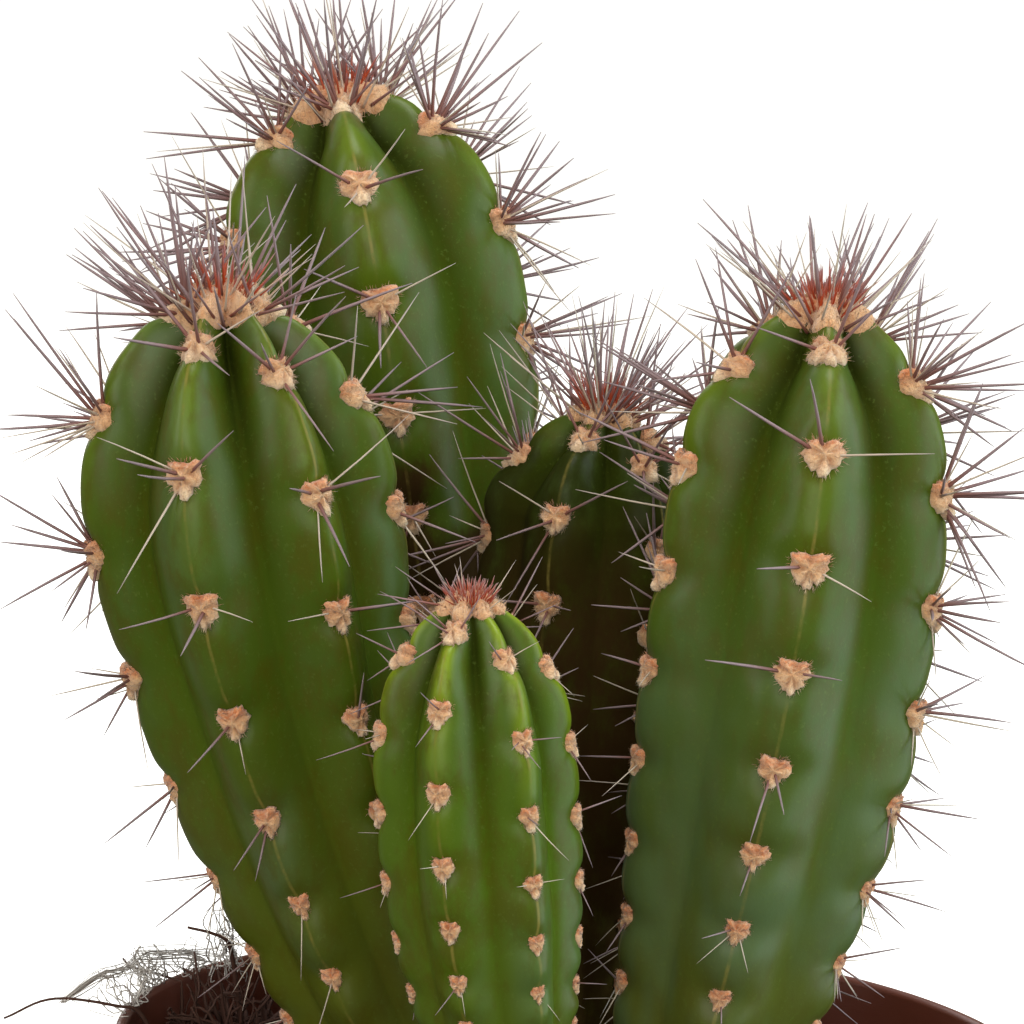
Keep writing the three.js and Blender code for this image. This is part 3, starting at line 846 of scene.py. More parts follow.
def crown_hairs(stem, count, draw):
    """Hairs all over the crown's cushion, which stand straight out of it."""
    share = np.sqrt(draw.uniform(0, 1, count))
    rib = draw.uniform(0, stem.count, count)
    way, dome, cleft = crown_lift(stem, rib, share)
    roots = stem.surface(rib, way, dome - CROWN_HAIR_DEPTH)
    out = unit(stem.surface(rib, way, dome + (1 - CROWN_HAIR_DEPTH)) - roots)
    lengths = stem.plan.pad_size * draw.uniform(*CROWN_HAIR_LENGTHS, count)
    return hairs(roots, out, lengths, crown_foxiness(share), CROWN_HAIR_SHADE * cleft, draw)


def make_wool(stem, settings, finish):
    """All the wool of a stem: the crown's cushion, a pad at each areole, and their hairs.

    Old pads are worn smaller and are foxier.
    """
    draw = np.random.default_rng(stem.plan.seed + WOOL_SEED_STEP)
    parts = [crown_cushion(stem, draw), crown_hairs(stem, settings.crown_hairs, draw)]
    for rib, places in enumerate(stem.areoles):
        for number, (way, size) in enumerate(places):
            worn = float(smooth(way / stem.soil_way, *WORN_AGES))
            size = size * (1 - WORN_PAD * worn)
            clefts = cleft_turns(stem, rib, number)
            for points, faces, marks in (
                pad_points(stem, float(rib), way, size, clefts, draw),
                pad_hairs(stem, float(rib), way, size, settings.pad_hairs, clefts, draw),
            ):
                marks["height"] = marks["height"] + WORN_TINT * worn
                parts.append((points, faces, marks))
    points, faces, marks = joined(parts)
    return new_piece(stem.plan.name + "_wool", points, faces, finish, stem.plan.name, marks)


# Spines

SPINE_SEED_STEP = 200
SPINE_STEPS = np.array([0.0, 0.05, 0.14, 0.45, 0.78, 1.0])
SPINE_TAPER = np.array([1.3, 1.15, 1.0, 0.88, 0.64, 0.18])
SPINE_SIDES = 4
SPINE_BEND = 0.06
SHORT_SPINE_GIRTH = 0.65
FULL_GIRTH_LENGTH = 12.0
SPINE_ROOT_LIFT = 0.4

# Pairs of a young and an old areole, and the ages between which the one turns into the other
RING_COUNTS, CENTRE_COUNTS, FEWER_AGES = (11, 3.5), (4, 1), (0.05, 0.6)
RING_SPREADS, TURNED_DOWN_AGES = (2 * math.pi, 1.25 * math.pi), (0.35, 0.65)
LENGTH_SHARES, SHORTER_AGES = (1.0, 0.55), (0.1, 0.75)
GIRTH_SHARES, THINNER_AGES = (1.0, 0.7), (0.3, 0.8)
PALE_IN_RING = (0.3, 0.8)

# Ranges from which each spine of an areole draws
RING_TILTS, CENTRE_TILTS = (34, 76), (4, 36)
RING_LENGTHS, CENTRE_LENGTHS = (0.5, 1.05), (0.75, 1.2)
DUSKY_TONES, PALE_TONES = (0.65, 1.0), (0.0, 0.4)
GIRTHS = (0.85, 1.1)
PALE_GIRTH = 0.62
PALE_IN_CENTRE = 0.15
RING_COUNT_STRAY, CENTRE_COUNT_STRAY = 1.0, 0.6
SHEAF_DEPTH = 0.3
SHEAF_FOOT, SHEAF_SPREAD = 0.3, 0.9
TURN_STRAY = 0.22
CLEFT_PULL = 0.4
YOUNG_TINT = 0.12

# The same for the long and the short spines of a crown
CROWN_REACHES = (0.3, 0.19)
CROWN_LEANS = (64, 46)
CROWN_LEAN_STRAY = 8
CROWN_AIM_STRAY = 0.1
LONG_LENGTHS, SHORT_LENGTHS = (0.6, 1.15), (0.17, 0.38)
LONG_TINTS, SHORT_TINTS = (0.0, 0.25), (0.85, 1.0)
CROWN_PALE_TONES, CROWN_DUSKY_TONES = (0.0, 0.35), (0.6, 1.0)
CROWN_GIRTHS = (0.8, 1.1)
CROWN_PALE_GIRTH = 0.65
CROWN_PALE_SHARE = 0.35

CLEAR_OF_STEMS = 0.6
CLEAR_OF_SOIL = 1.6
CLEAR_OF_POT = 1.0
SPILL = np.array([2.8, 2.8, 5.0])
REACH_LOW, REACH_HIGH = np.array(CAD_BOUNDS[0]) / MM - SPILL, np.array(CAD_BOUNDS[1]) / MM + SPILL
PROBES = np.linspace(0.25, 1.0, 12)
PROBE_AHEAD = 0.4
TURN_TOWARDS = 0.6
TURN_TRIES = ((0.3, 1.0), (0.6, 1.0), (0.0, 0.6), (0.8, 0.7), (0.3, 0.4), (0.9, 0.45))


def drawn(draw, chosen, first, second):
    """Random numbers from the first range where chosen, and from the second elsewhere."""
    count = len(chosen)
    return np.where(chosen, draw.uniform(*first, count), draw.uniform(*second, count))


def sheaf_turns(stem, rib, number, age, ring, centre, draw):
    """The directions in which an areole's spines lean, all drawn towards the pad's clefts.

    A ring of them is spread evenly, on an old areole only round its lower side, and those in the centre lean
    at random.
    """
    spread = lerp(*RING_SPREADS, smooth(age, *TURNED_DOWN_AGES))
    turns = -math.pi / 2 + ((np.arange(ring) + 0.5) / max(ring, 1) - 0.5) * spread
    turns = np.append(turns + draw.normal(0, TURN_STRAY, ring), draw.uniform(0, 2 * math.pi, centre))
    return turns + CLEFT_PULL * off_cleft(turns, cleft_turns(stem, rib, number))


def sheaf(stem, rib, number, way, size, draw):
    """Roots, aims, lengths, widths, tones and tints of one areole's spines.

    A young areole has a sheaf of long spines that stand out within a wide cone, dusky and pale ones mixed. An
    old one has a few short pale ones that point sideways and down.
    """
    age = way / stem.soil_way
    side, up, out = stem.spot(float(rib), way)
    share, fewer = stem.plan.spine_shares[rib], smooth(age, *FEWER_AGES)
    more = draw.uniform(-RING_COUNT_STRAY, RING_COUNT_STRAY)
    ring = int(round(share * lerp(*RING_COUNTS, fewer) + more))
    more = draw.uniform(-CENTRE_COUNT_STRAY, CENTRE_COUNT_STRAY)
    centre = int(round(share * lerp(*CENTRE_COUNTS, fewer) + more))
    turns = sheaf_turns(stem, rib, number, age, ring, centre, draw)
    count = len(turns)
    tilts = np.append(draw.uniform(*RING_TILTS, ring), draw.uniform(*CENTRE_TILTS, centre))
    tilt = np.radians(tilts)[:, None]
    full = stem.plan.spine_length * lerp(*LENGTH_SHARES, smooth(age, *SHORTER_AGES))
    lengths = np.append(draw.uniform(*RING_LENGTHS, ring), draw.uniform(*CENTRE_LENGTHS, centre)) * full
    around = side * np.cos(turns)[:, None] + up * np.sin(turns)[:, None]
    base = stem.surface(float(rib), way, PAD_THICKNESS * size * SHEAF_DEPTH)
    roots = base + around * (SHEAF_FOOT + SHEAF_SPREAD * np.sin(tilt)) * size
    aims = unit(out * np.cos(tilt) + around * np.sin(tilt))
    dusky_in_ring = draw.uniform(0, 1, ring) > lerp(*PALE_IN_RING, age)
    dusky = np.append(dusky_in_ring, draw.uniform(0, 1, centre) > PALE_IN_CENTRE)
    tones = drawn(draw, dusky, DUSKY_TONES, PALE_TONES)
    widths = np.where(dusky, 1.0, PALE_GIRTH) * draw.uniform(*GIRTHS, count)
    widths = widths * lerp(*GIRTH_SHARES, smooth(age, *THINNER_AGES))
    return roots, aims, lengths, widths, tones, np.full(count, YOUNG_TINT * (1 - age))


def crown_spines(stem, count, draw):
    """The same for the tuft on the crown: upright in the middle and leaning outwards round it.

    Long spines stand among short ones, which are foxy red all along.
    """
    top = np.array(stem.plan.height)
    share = np.sqrt((np.arange(count) + 0.5) / count)
    ribs = (np.arange(count) * GOLDEN_TURN / (2 * math.pi) * stem.count) % stem.count
    long = draw.uniform(0, 1, count) < stem.plan.long_crown_spines
    reach = np.where(long, *CROWN_REACHES) * stem.plan.full_radius * share
    roots = stem.surface(ribs, reach, SPINE_ROOT_LIFT)
    _, _, along = stem.directions(top)
    outward = roots - stem.middle(top)
    outward = unit(outward - along * (outward @ along)[:, None])
    lean = np.where(long, *CROWN_LEANS) * share + draw.normal(0, CROWN_LEAN_STRAY, count)
    lean = np.radians(lean)[:, None]
    stray = draw.normal(0, CROWN_AIM_STRAY, (count, 3))
    aims = unit(along * np.cos(lean) + outward * np.sin(lean) + stray)
    lengths = stem.plan.spine_length * drawn(draw, long, LONG_LENGTHS, SHORT_LENGTHS)
    pale = draw.uniform(0, 1, count) < CROWN_PALE_SHARE
    tones = drawn(draw, pale, CROWN_PALE_TONES, CROWN_DUSKY_TONES)
    tints = drawn(draw, long, LONG_TINTS, SHORT_TINTS)
    widths = np.where(pale, CROWN_PALE_GIRTH, 1.0) * draw.uniform(*CROWN_GIRTHS, count)
    return roots, aims, lengths, widths, tones, tints


def blocked(roots, aims, lengths, own, stems):
    """Which straight spines would hit another stem, the soil or the pot's wall, or leave the part's box."""
    points = roots[:, None] + aims[:, None] * (lengths[:, None] * PROBES + PROBE_AHEAD)[..., None]
    high = points[..., 2]
    hit = (high < SOIL_LEVEL + CLEAR_OF_SOIL) | (points < REACH_LOW).any(-1) | (points > REACH_HIGH).any(-1)
    from_axis = np.hypot(points[..., 0], points[..., 1])
    hit |= (high < POT_HEIGHT + CLEAR_OF_POT) & (from_axis > RIM_RADIUS - WALL - CLEAR_OF_POT)
    height = high - SOIL_LEVEL
    for stem in stems:
        if stem is own:
            continue
        _, _, along = stem.directions(height)
        beside = points[..., :2] - stem.middle(height)[..., :2]
        reach = stem.stoutness(np.maximum(height, 0)) / along[..., 2] + CLEAR_OF_STEMS
        hit |= (height < stem.plan.height) & (np.hypot(beside[..., 0], beside[..., 1]) < reach)
    return hit.any(axis=1)


def cleared(roots, aims, lengths, own, stems):
    """Turns blocked spines up the stem or shortens them, and says which are clear in the end.

    Each try is a share of the turn and a share of the length.
    """
    _, _, along = own.directions(np.array(TURN_TOWARDS * own.plan.height))
    new_aims, new_lengths = aims.copy(), lengths.copy()
    stuck = blocked(roots, new_aims, new_lengths, own, stems)
    for bend, share in TURN_TRIES:
        trial_aims = np.where(stuck[:, None], unit(lerp(aims, along, bend)), new_aims)
        trial_lengths = np.where(stuck, lengths * share, new_lengths)
        still = blocked(roots, trial_aims, trial_lengths, own, stems)
        freed = stuck & ~still
        new_aims[freed] = trial_aims[freed]
        new_lengths[freed] = trial_lengths[freed]
        stuck = stuck & ~freed
    return new_aims, new_lengths, ~stuck


def make_spines(stem, stems, settings, finish):
    """Spines as slim tapering tubes.

    Each path is straight along its aim, with a slight bend to one side that grows as the square of the way
    along it.
    """
    plan = stem.plan
    draw = np.random.default_rng(plan.seed + SPINE_SEED_STEP)
    groups = [
        sheaf(stem, rib, number, way, size, draw)
        for rib, places in enumerate(stem.areoles)
        for number, (way, size) in enumerate(places)
    ]
    groups.append(crown_spines(stem, int(settings.crown_spines * plan.crown_fullness), draw))
    roots, aims, lengths, widths, tones, tints = (np.concatenate(group) for group in zip(*groups))
    aims, lengths, clear = cleared(roots, aims, lengths, stem, stems)
    roots, aims, lengths = roots[clear], aims[clear], lengths[clear]
    widths, tones, tints = widths[clear], tones[clear], tints[clear]
    share = SPINE_STEPS[None, :, None]
    bend = unit(np.cross(aims, draw.normal(size=aims.shape)))
    bend = bend * draw.uniform(0, SPINE_BEND, len(aims))[:, None]
    paths = roots[:, None] + lengths[:, None, None] * (aims[:, None] * share + bend[:, None] * share ** 2)
    girth = lerp(SHORT_SPINE_GIRTH, 1.0, np.clip(lengths / FULL_GIRTH_LENGTH, 0, 1))
    widths = settings.spine_width / MM * plan.spine_girth * widths * girth
    points, faces = tubes(paths, widths[:, None] * SPINE_TAPER, SPINE_SIDES)
    per_spine = len(SPINE_STEPS) * SPINE_SIDES
    marks = {
        "along": np.tile(np.repeat(SPINE_STEPS, SPINE_SIDES), len(roots)),
        "tone": np.repeat(tones, per_spine),
        "tint": np.repeat(tints, per_spine),
    }
    return new_piece(plan.name + "_spines", points, faces, finish, plan.name, marks)


# Soil

def pot_inside(height):
    """The pot's inner radius at a height."""
    taper = lerp(FOOT_RADIUS, SHOULDER_RADIUS, height / SHOULDER_HEIGHT) - WALL
    return float(np.where(height > SHOULDER_HEIGHT, RIM_RADIUS - WALL, taper))


SOIL_EDGE = pot_inside(SOIL_LEVEL - SOIL_DROP)
SOIL_COLUMNS = 220
SOIL_RINGS = 75
# Each size of lump: its height, its width, its seed and how many waves make it
LUMPS = ((0.7, 19.0, 5, 7), (0.35, 6.0, 6, 7), (0.2, 2.3, 7, 12))
LUMPS_CALM_POWER = 6

CRUMB_SEED = 77
CRUMB_MARGIN = 2.5
CRUMBS_FROM_STEMS = 1.2
CRUMB_SIZE_LOG, CRUMB_SIZE_SPREAD = -0.45, 0.45
CRUMB_SIZES = (0.25, 2.0)
CRUMB_STRETCHES = (0.6, 1.3)
CRUMB_DENTS = (0.85, 1.15)
CRUMB_LIFT = 0.25
CRUMB_TONES = (0.2, 1.0)


def soil_height(x, y):
    """The soil's surface: a low mound with lumps of three sizes, calm towards the pot's wall."""
    share = np.clip(np.hypot(x, y) / (SOIL_EDGE - SEAT_GAP), 0, 1)
    flat = np.stack([x, y, np.zeros_like(x)], -1)
    lumps = sum(high * waves(flat, wide, seed, count) for high, wide, seed, count in LUMPS)
    mound = SOIL_LEVEL + SOIL_MOUND - (SOIL_MOUND + SOIL_DROP) * share ** 2
    return mound + lumps * (1 - share ** LUMPS_CALM_POWER)


def make_soil(finish):
    """The soil: rings of points over the mound, then down the pot's wall and across its floor."""
    turn = full_turn(SOIL_COLUMNS)
    rings = np.linspace(0, 1, SOIL_RINGS + 1)[1:]
    radius, angle = np.meshgrid(rings * (SOIL_EDGE - SEAT_GAP), turn, indexing="ij")
    x, y = radius * np.cos(angle), radius * np.sin(angle)
    top = np.stack([x, y, soil_height(x, y)], -1).reshape(-1, 3)
    low = FLOOR_THICKNESS + SEAT_GAP
    foot = round_axis(pot_inside(FLOOR_THICKNESS) - SEAT_GAP, turn, low)
    points = np.concatenate([top, foot, [[0, 0, soil_height(0.0, 0.0)], [0, 0, low]]])
    faces = closed_grid(SOIL_RINGS + 1, SOIL_COLUMNS)
    return new_piece("soil_bed", points, faces, finish, "soil", {"crumb": np.zeros(len(points))})


def crumb_shape():
    """The twelve corners and twenty faces of an icosahedron."""
    golden = (1 + 5 ** 0.5) / 2
    corners = [(-1, golden, 0), (1, golden, 0), (-1, -golden, 0), (1, -golden, 0)]
    corners += [(0, -1, golden), (0, 1, golden), (0, -1, -golden), (0, 1, -golden)]
    corners += [(golden, 0, -1), (golden, 0, 1), (-golden, 0, -1), (-golden, 0, 1)]
    faces = [(0, 11, 5), (0, 5, 1), (0, 1, 7), (0, 7, 10), (0, 10, 11)]
    faces += [(1, 5, 9), (5, 11, 4), (11, 10, 2), (10, 7, 6), (7, 1, 8)]
    faces += [(3, 9, 4), (3, 4, 2), (3, 2, 6), (3, 6, 8), (3, 8, 9)]
    faces += [(4, 9, 5), (2, 4, 11), (6, 2, 10), (8, 6, 7), (9, 8, 1)]
    return unit(corners), np.array(faces)


def free_of_stems(x, y, stems, clear):
    """Which places on the soil lie clear of all stems."""
    free = np.ones(len(x), bool)
    for stem in stems:
        _, _, along = stem.directions(np.array(0.0))
        reach = stem.plan.foot_radius / along[2] + clear
        free &= np.hypot(x - stem.plan.foot[0], y - stem.plan.foot[1]) > reach
    return free


def make_crumbs(stems, settings, finish):
    """Crumbs of peat on the soil: stretched, turned and dented icosahedra, half sunk in it."""
    draw = np.random.default_rng(CRUMB_SEED)
    count = settings.crumbs
    radius = (SOIL_EDGE - CRUMB_MARGIN) * np.sqrt(draw.uniform(0, 1, count))
    turn = draw.uniform(0, 2 * math.pi, count)
    x, y = radius * np.cos(turn), radius * np.sin(turn)
    size = draw.lognormal(CRUMB_SIZE_LOG, CRUMB_SIZE_SPREAD, count).clip(*CRUMB_SIZES)
    free = free_of_stems(x, y, stems, CRUMBS_FROM_STEMS)
    x, y, size = x[free], y[free], size[free]
    count = len(x)
    corners, shape = crumb_shape()
    turns, _ = np.linalg.qr(draw.normal(size=(count, 3, 3)))
    turns *= np.sign(np.linalg.det(turns))[:, None, None]
    stretches = draw.uniform(*CRUMB_STRETCHES, (count, 1, 3))
    dents = draw.uniform(*CRUMB_DENTS, (count, len(corners), 1))
    local = np.einsum("nij,nkj->nki", turns, corners * (stretches * dents)) * size[:, None, None]
    centre = np.stack([x, y, soil_height(x, y) + CRUMB_LIFT * size], -1)
    points = (centre[:, None] + local).reshape(-1, 3)
    faces = (shape[None] + (np.arange(count) * len(corners))[:, None, None]).reshape(-1, 3)
    marks = {"crumb": np.repeat(draw.uniform(*CRUMB_TONES, count), len(corners))}
    return new_piece("soil_crumbs", points, [faces], finish, "soil", marks)


# Fibres

FIBRE_SEED = 91
FIBRE_SIDES = 4
PATH_STEPS = 15
CURL_BUILD = 0.6
CURL_SINK = 0.9

FIBRE_ROUTES = (
    ((-51, 8, 90), (-54, 6, 98), (-57, 3, 105), (-60.2, 1, 106.4), (-67.1, 0, 107.4), (-74.5, 0, 104.5)),
    (
        (-44, 22, 90), (-44.5, 20, 98), (-45.5, 17.5, 106),
        (-46.8, 15.5, 112), (-49, 15, 113.4), (-52.2, 15, 114.2),
    ),
    ((30, 36, 90), (34, 34, 95.5), (41, 29, 97.5), (46, 22, 95), (48, 18, 91)),
)
STRAND_STEPS = 40
STRAND_WAVE_HEIGHT, STRAND_WAVE_SIZE = 0.15, 9.0
STRAND_WAVE_SEEDS = (1, 2, 3)

WEB_RIDGE = (
    (-67, 0, 107),
    (-62.8, 6, 109.2),
    (-59.8, 10, 109.2),
    (-58.5, 14, 110.2),
    (-57.3, 16, 109.8),
    (-52.3, 26, 108),
    (-49, 28, 107),
)
RIDGE_STEPS = 40
RIDGE_STRIDE = 4
RIDGE_WINDOW = 6
RIDGE_STRAY = 0.5
RIDGE_BUILD = 0.5
HUNG_PER_ALONG, HUNG_PER_WISP = 5, 2
WEB_TURNS = (180.0, 148.0)
WEB_START_LIFT = 0.2
WEB_END_STRAY = 0.7
WEB_SWAY = 0.9
SWAY_HALVES = (1, 2, 3, 5)

WISP_FOOT = np.array([-46.5, 21.0, 108.0])
WISP_TOP = np.array([-47.9, 10.0, 119.5])
WISP_SPREAD, WISP_END_STRAY = 1.6, 0.9
WISP_REACH = (0.15, 1.0)

CLUMP_FOOT = np.array([-45.0, 19.0, 92.5])
CLUMP_SPREAD = np.array([3.2, 3.0, 0.4])
CLUMP_LEAN, CLUMP_LEAN_STRAY = np.array([-0.15, 0.0, 1.0]), 0.3
CLUMP_LENGTHS = (9.0, 20.0)
CLUMP_CURL = 0.2
CLUMP_FROM_WALL = 2

LITTER_RADIUS = 50
LITTER_FROM_STEMS = 3.0
LITTER_RISE = 0.5
LITTER_LENGTHS = (4, 11)
LITTER_CURL = 0.22
LITTER_SINK = 0.1

# Width at the root and at the tip, and how much it varies from fibre to fibre
STRAND_WIDTHS = (0.85, 0.4)
WEB_WIDTHS, WEB_WIDTH_SHARES = (0.2, 0.12), (0.6, 1.3)
CLUMP_WIDTHS, CLUMP_WIDTH_SHARES = (0.75, 0.3), (0.6, 1.4)
LITTER_WIDTHS, LITTER_WIDTH_SHARES = (0.24, 0.12), (0.6, 1.4)
STRAND_DARKNESS, WEB_DARKNESS, CLUMP_DARKNESS, LITTER_DARKNESS = 0.98, 0.05, 0.97, 0.8
TONE_STRAY = 0.25


def smooth_route(places, steps):
    """A smooth path through places: a Catmull-Rom spline."""
    places = np.array(places, float)
    padded = np.concatenate([2 * places[:1] - places[1:2], places, 2 * places[-1:] - places[-2:-1]])
    share = np.linspace(0, len(places) - 1, steps)
    leg = np.minimum(share.astype(int), len(places) - 2)
    t = (share - leg)[:, None]
    a, b, c, d = (padded[leg + i] for i in range(4))
    square = 2 * a - 5 * b + 4 * c - d
    cube = 3 * b - a - 3 * c + d
    return 0.5 * (2 * b + (c - a) * t + square * t ** 2 + cube * t ** 3)


def curly_paths(starts, aims, lengths, curl, draw):
    """Paths that set out along an aim and wander.

    The aim is turned a little at each step by a smooth random walk, and sinks slowly.
    """
    wander = draw.normal(0, curl, (len(starts), PATH_STEPS, 3)).cumsum(axis=1) * CURL_BUILD
    sink = np.linspace(0, -CURL_SINK, PATH_STEPS)[None, :, None] * np.array([0, 0, 1.0])
    heading = unit(aims[:, None] + wander + sink)
    legs = heading * (lengths / PATH_STEPS)[:, None, None]
    return np.concatenate([starts[:, None], starts[:, None] + legs.cumsum(axis=1)], axis=1)


def strung_paths(starts, ends, sway, draw):
    """Paths from starts to ends that stray to the side by sine waves, so that both ends stay in place."""
    share = np.linspace(0, 1, PATH_STEPS + 1)[None, :, None]
    paths = starts[:, None] + (ends - starts)[:, None] * share
    for halves in SWAY_HALVES:
        paths += draw.normal(0, sway / halves, (len(starts), 1, 3)) * np.sin(math.pi * halves * share)
    return paths


def hung_threads(ridge, count, draw):
    """Dry threads from the pot's rim up to a ridge in the air."""
    share = draw.uniform(0, 1, count)
    radius = RIM_RADIUS - draw.uniform(0, WALL, count)
    starts = round_axis(radius, np.radians(lerp(*WEB_TURNS, share)), POT_HEIGHT + WEB_START_LIFT)
    place = share * (RIDGE_STEPS - RIDGE_WINDOW) + draw.uniform(0, RIDGE_WINDOW, count)
    ends = ridge[place.astype(int)] + draw.normal(0, WEB_END_STRAY, (count, 3))
    return strung_paths(starts, ends, WEB_SWAY, draw)


def ridge_threads(ridge, count, draw):
    """Threads along the ridge, which stray from it by a smooth random walk."""
    places = ridge[::RIDGE_STRIDE]
    strays = draw.normal(0, RIDGE_STRAY, (count, len(places), 3)).cumsum(axis=1) * RIDGE_BUILD
    return np.stack([smooth_route(path, PATH_STEPS + 1) for path in places + strays])


def wisps(count, draw):
    """Threads that go up beside the stem."""
    foot = WISP_FOOT + draw.normal(0, WISP_SPREAD, (count, 3))
    top = lerp(WISP_FOOT, WISP_TOP, draw.uniform(*WISP_REACH, (count, 1)))
    return strung_paths(foot, top + draw.normal(0, WISP_END_STRAY, top.shape), WEB_SWAY, draw)


def web_paths(count, draw):
    """The web on the left: threads hung from a ridge, some along it, and wisps beside the stem."""
    ridge = smooth_route(WEB_RIDGE, RIDGE_STEPS + 1)
    hung = hung_threads(ridge, count, draw)
    along = ridge_threads(ridge, count // HUNG_PER_ALONG, draw)
    return np.concatenate([hung, along, wisps(count // HUNG_PER_WISP, draw)])


def clump_paths(count, draw):
    """A clump of fibres that stands up from the soil beside the web and stays inside the pot's wall."""
    starts = CLUMP_FOOT + draw.normal(0, 1, (count, 3)) * CLUMP_SPREAD
    aims = unit(draw.normal(0, CLUMP_LEAN_STRAY, (count, 3)) + CLUMP_LEAN)
    paths = curly_paths(starts, aims, draw.uniform(*CLUMP_LENGTHS, count), CLUMP_CURL, draw)
    across = np.hypot(paths[..., 0], paths[..., 1])
    in_pot = paths[..., 2] < POT_HEIGHT + CLEAR_OF_POT
    most = np.where(in_pot, RIM_RADIUS - WALL - CLUMP_FROM_WALL, np.inf)
    paths[..., :2] *= np.minimum(1, most / across)[..., None]
    return paths


def litter_paths(stems, count, draw):
    """Bits of fibre that lie about on the soil, clear of the stems."""
    turn = draw.uniform(0, 2 * math.pi, count)
    radius = LITTER_RADIUS * np.sqrt(draw.uniform(0, 1, count))
    x, y = radius * np.cos(turn), radius * np.sin(turn)
    free = free_of_stems(x, y, stems, LITTER_FROM_STEMS)
    x, y = x[free], y[free]
    heading = draw.uniform(0, 2 * math.pi, len(x))
    aims = unit(round_axis(1.0, heading, LITTER_RISE))
    starts = np.stack([x, y, soil_height(x, y)], -1)
    paths = curly_paths(starts, aims, draw.uniform(*LITTER_LENGTHS, len(x)), LITTER_CURL, draw)
    lowest = soil_height(paths[..., 0], paths[..., 1]) - LITTER_SINK
    paths[..., 2] = np.maximum(paths[..., 2], lowest)
    return paths


def fibre_widths(paths, ends, shares, draw):
    """Widths along fibres that narrow from root to tip, each fibre by its own share of them."""
    return np.linspace(*ends, paths.shape[1])[None] * draw.uniform(*shares, (len(paths), 1))


def make_fibres(stems, settings, finish):
    """Coconut fibres: three stout strands, a web over the rim on the left, a clump beside it and litter."""
    draw = np.random.default_rng(FIBRE_SEED)
    strands = np.stack([smooth_route(route, STRAND_STEPS) for route in FIBRE_ROUTES])
    sways = [waves(strands, STRAND_WAVE_SIZE, seed) for seed in STRAND_WAVE_SEEDS]
    strands += STRAND_WAVE_HEIGHT * np.stack(sways, -1)
    strand_widths = np.tile(np.linspace(*STRAND_WIDTHS, STRAND_STEPS), (len(strands), 1))
    web = web_paths(settings.web_fibres, draw)
    clump = clump_paths(settings.clump_fibres, draw)
    litter = litter_paths(stems, settings.litter_fibres, draw)
    parts = []
    for paths, widths, dark in (
        (strands, strand_widths, STRAND_DARKNESS),
        (web, fibre_widths(web, WEB_WIDTHS, WEB_WIDTH_SHARES, draw), WEB_DARKNESS),
        (clump, fibre_widths(clump, CLUMP_WIDTHS, CLUMP_WIDTH_SHARES, draw), CLUMP_DARKNESS),
        (litter, fibre_widths(litter, LITTER_WIDTHS, LITTER_WIDTH_SHARES, draw), LITTER_DARKNESS),
    ):
        points, faces = tubes(paths, widths, FIBRE_SIDES)
        tone = np.clip(dark + draw.normal(0, TONE_STRAY, len(paths)) * (1 - dark), 0, 1)
        parts.append((points, faces, {"dark": np.repeat(tone, len(points) // len(paths))}))
    points, faces, marks = joined(parts)
    return new_piece("coir_fibres", points, faces, finish, "soil", marks)


# Pot

POT_SIDES = 192
DRAIN_SIDES = 32
FOOT_ROUNDING = 1.2
COLLAR_OVERLAP = 1.2
COLLAR_ROUNDING = 0.5
INSIDE_ROUNDING = 0.8
KEEP_FLAT = 4.0
WALL_STEPS = 24
INSIDE_STEP = 20.0
FOOT_ARC_END = -8
BELOW_COLLAR = 1.0
FLAT_ON_COLLAR, FLAT_IN_COLLAR = 3.0, 1.4
STEP_UNDERSIDE = 0.1


def arc(centre, radius, start, end, steps):
    """Points of an arc in the outline's plane, from one angle to another in degrees."""
    angle = np.radians(np.linspace(start, end, steps))
    return np.stack([centre[0] + radius * np.cos(angle), centre[1] + radius * np.sin(angle)], -1)


def pot_outline():
    """The pot's cut edge, as radius and height: its underside, up the outside, over the lip, down the inside.

    Extra points a little way from each rounding keep the walls beside it flat.
    """
    inner = RIM_RADIUS - WALL
    lip = WALL / 2
    floor_edge = DRAIN_CIRCLE + DRAIN_RADIUS + KEEP_FLAT
    collar_foot = SHOULDER_HEIGHT - COLLAR_OVERLAP
    wall = np.linspace(KEEP_FLAT, collar_foot - BELOW_COLLAR, WALL_STEPS)
    taper = (SHOULDER_RADIUS - FOOT_RADIUS) / SHOULDER_HEIGHT
    inside_step = FLOOR_THICKNESS + INSIDE_STEP
    return np.concatenate([
        [[floor_edge, 0.0]],
        arc((FOOT_RADIUS - FOOT_ROUNDING, FOOT_ROUNDING), FOOT_ROUNDING, -90, FOOT_ARC_END, 7),
        np.stack([FOOT_RADIUS + taper * wall, wall], -1),
        arc((RIM_RADIUS - COLLAR_ROUNDING, collar_foot + COLLAR_ROUNDING), COLLAR_ROUNDING, -90, 0, 5),
        [[RIM_RADIUS, SHOULDER_HEIGHT + FLAT_ON_COLLAR], [RIM_RADIUS, POT_HEIGHT - KEEP_FLAT]],
        arc((RIM_RADIUS - lip, POT_HEIGHT - lip), lip, 0, 180, 13),
        [[inner, POT_HEIGHT - KEEP_FLAT], [inner, SHOULDER_HEIGHT + FLAT_IN_COLLAR]],
        arc((inner - INSIDE_ROUNDING, SHOULDER_HEIGHT + INSIDE_ROUNDING), INSIDE_ROUNDING, 0, -90, 5),
        [[SHOULDER_RADIUS - WALL, SHOULDER_HEIGHT - STEP_UNDERSIDE]],
        [[pot_inside(inside_step), inside_step]],
        [[pot_inside(FLOOR_THICKNESS), FLOOR_THICKNESS]],
        [[floor_edge, FLOOR_THICKNESS]],
    ])


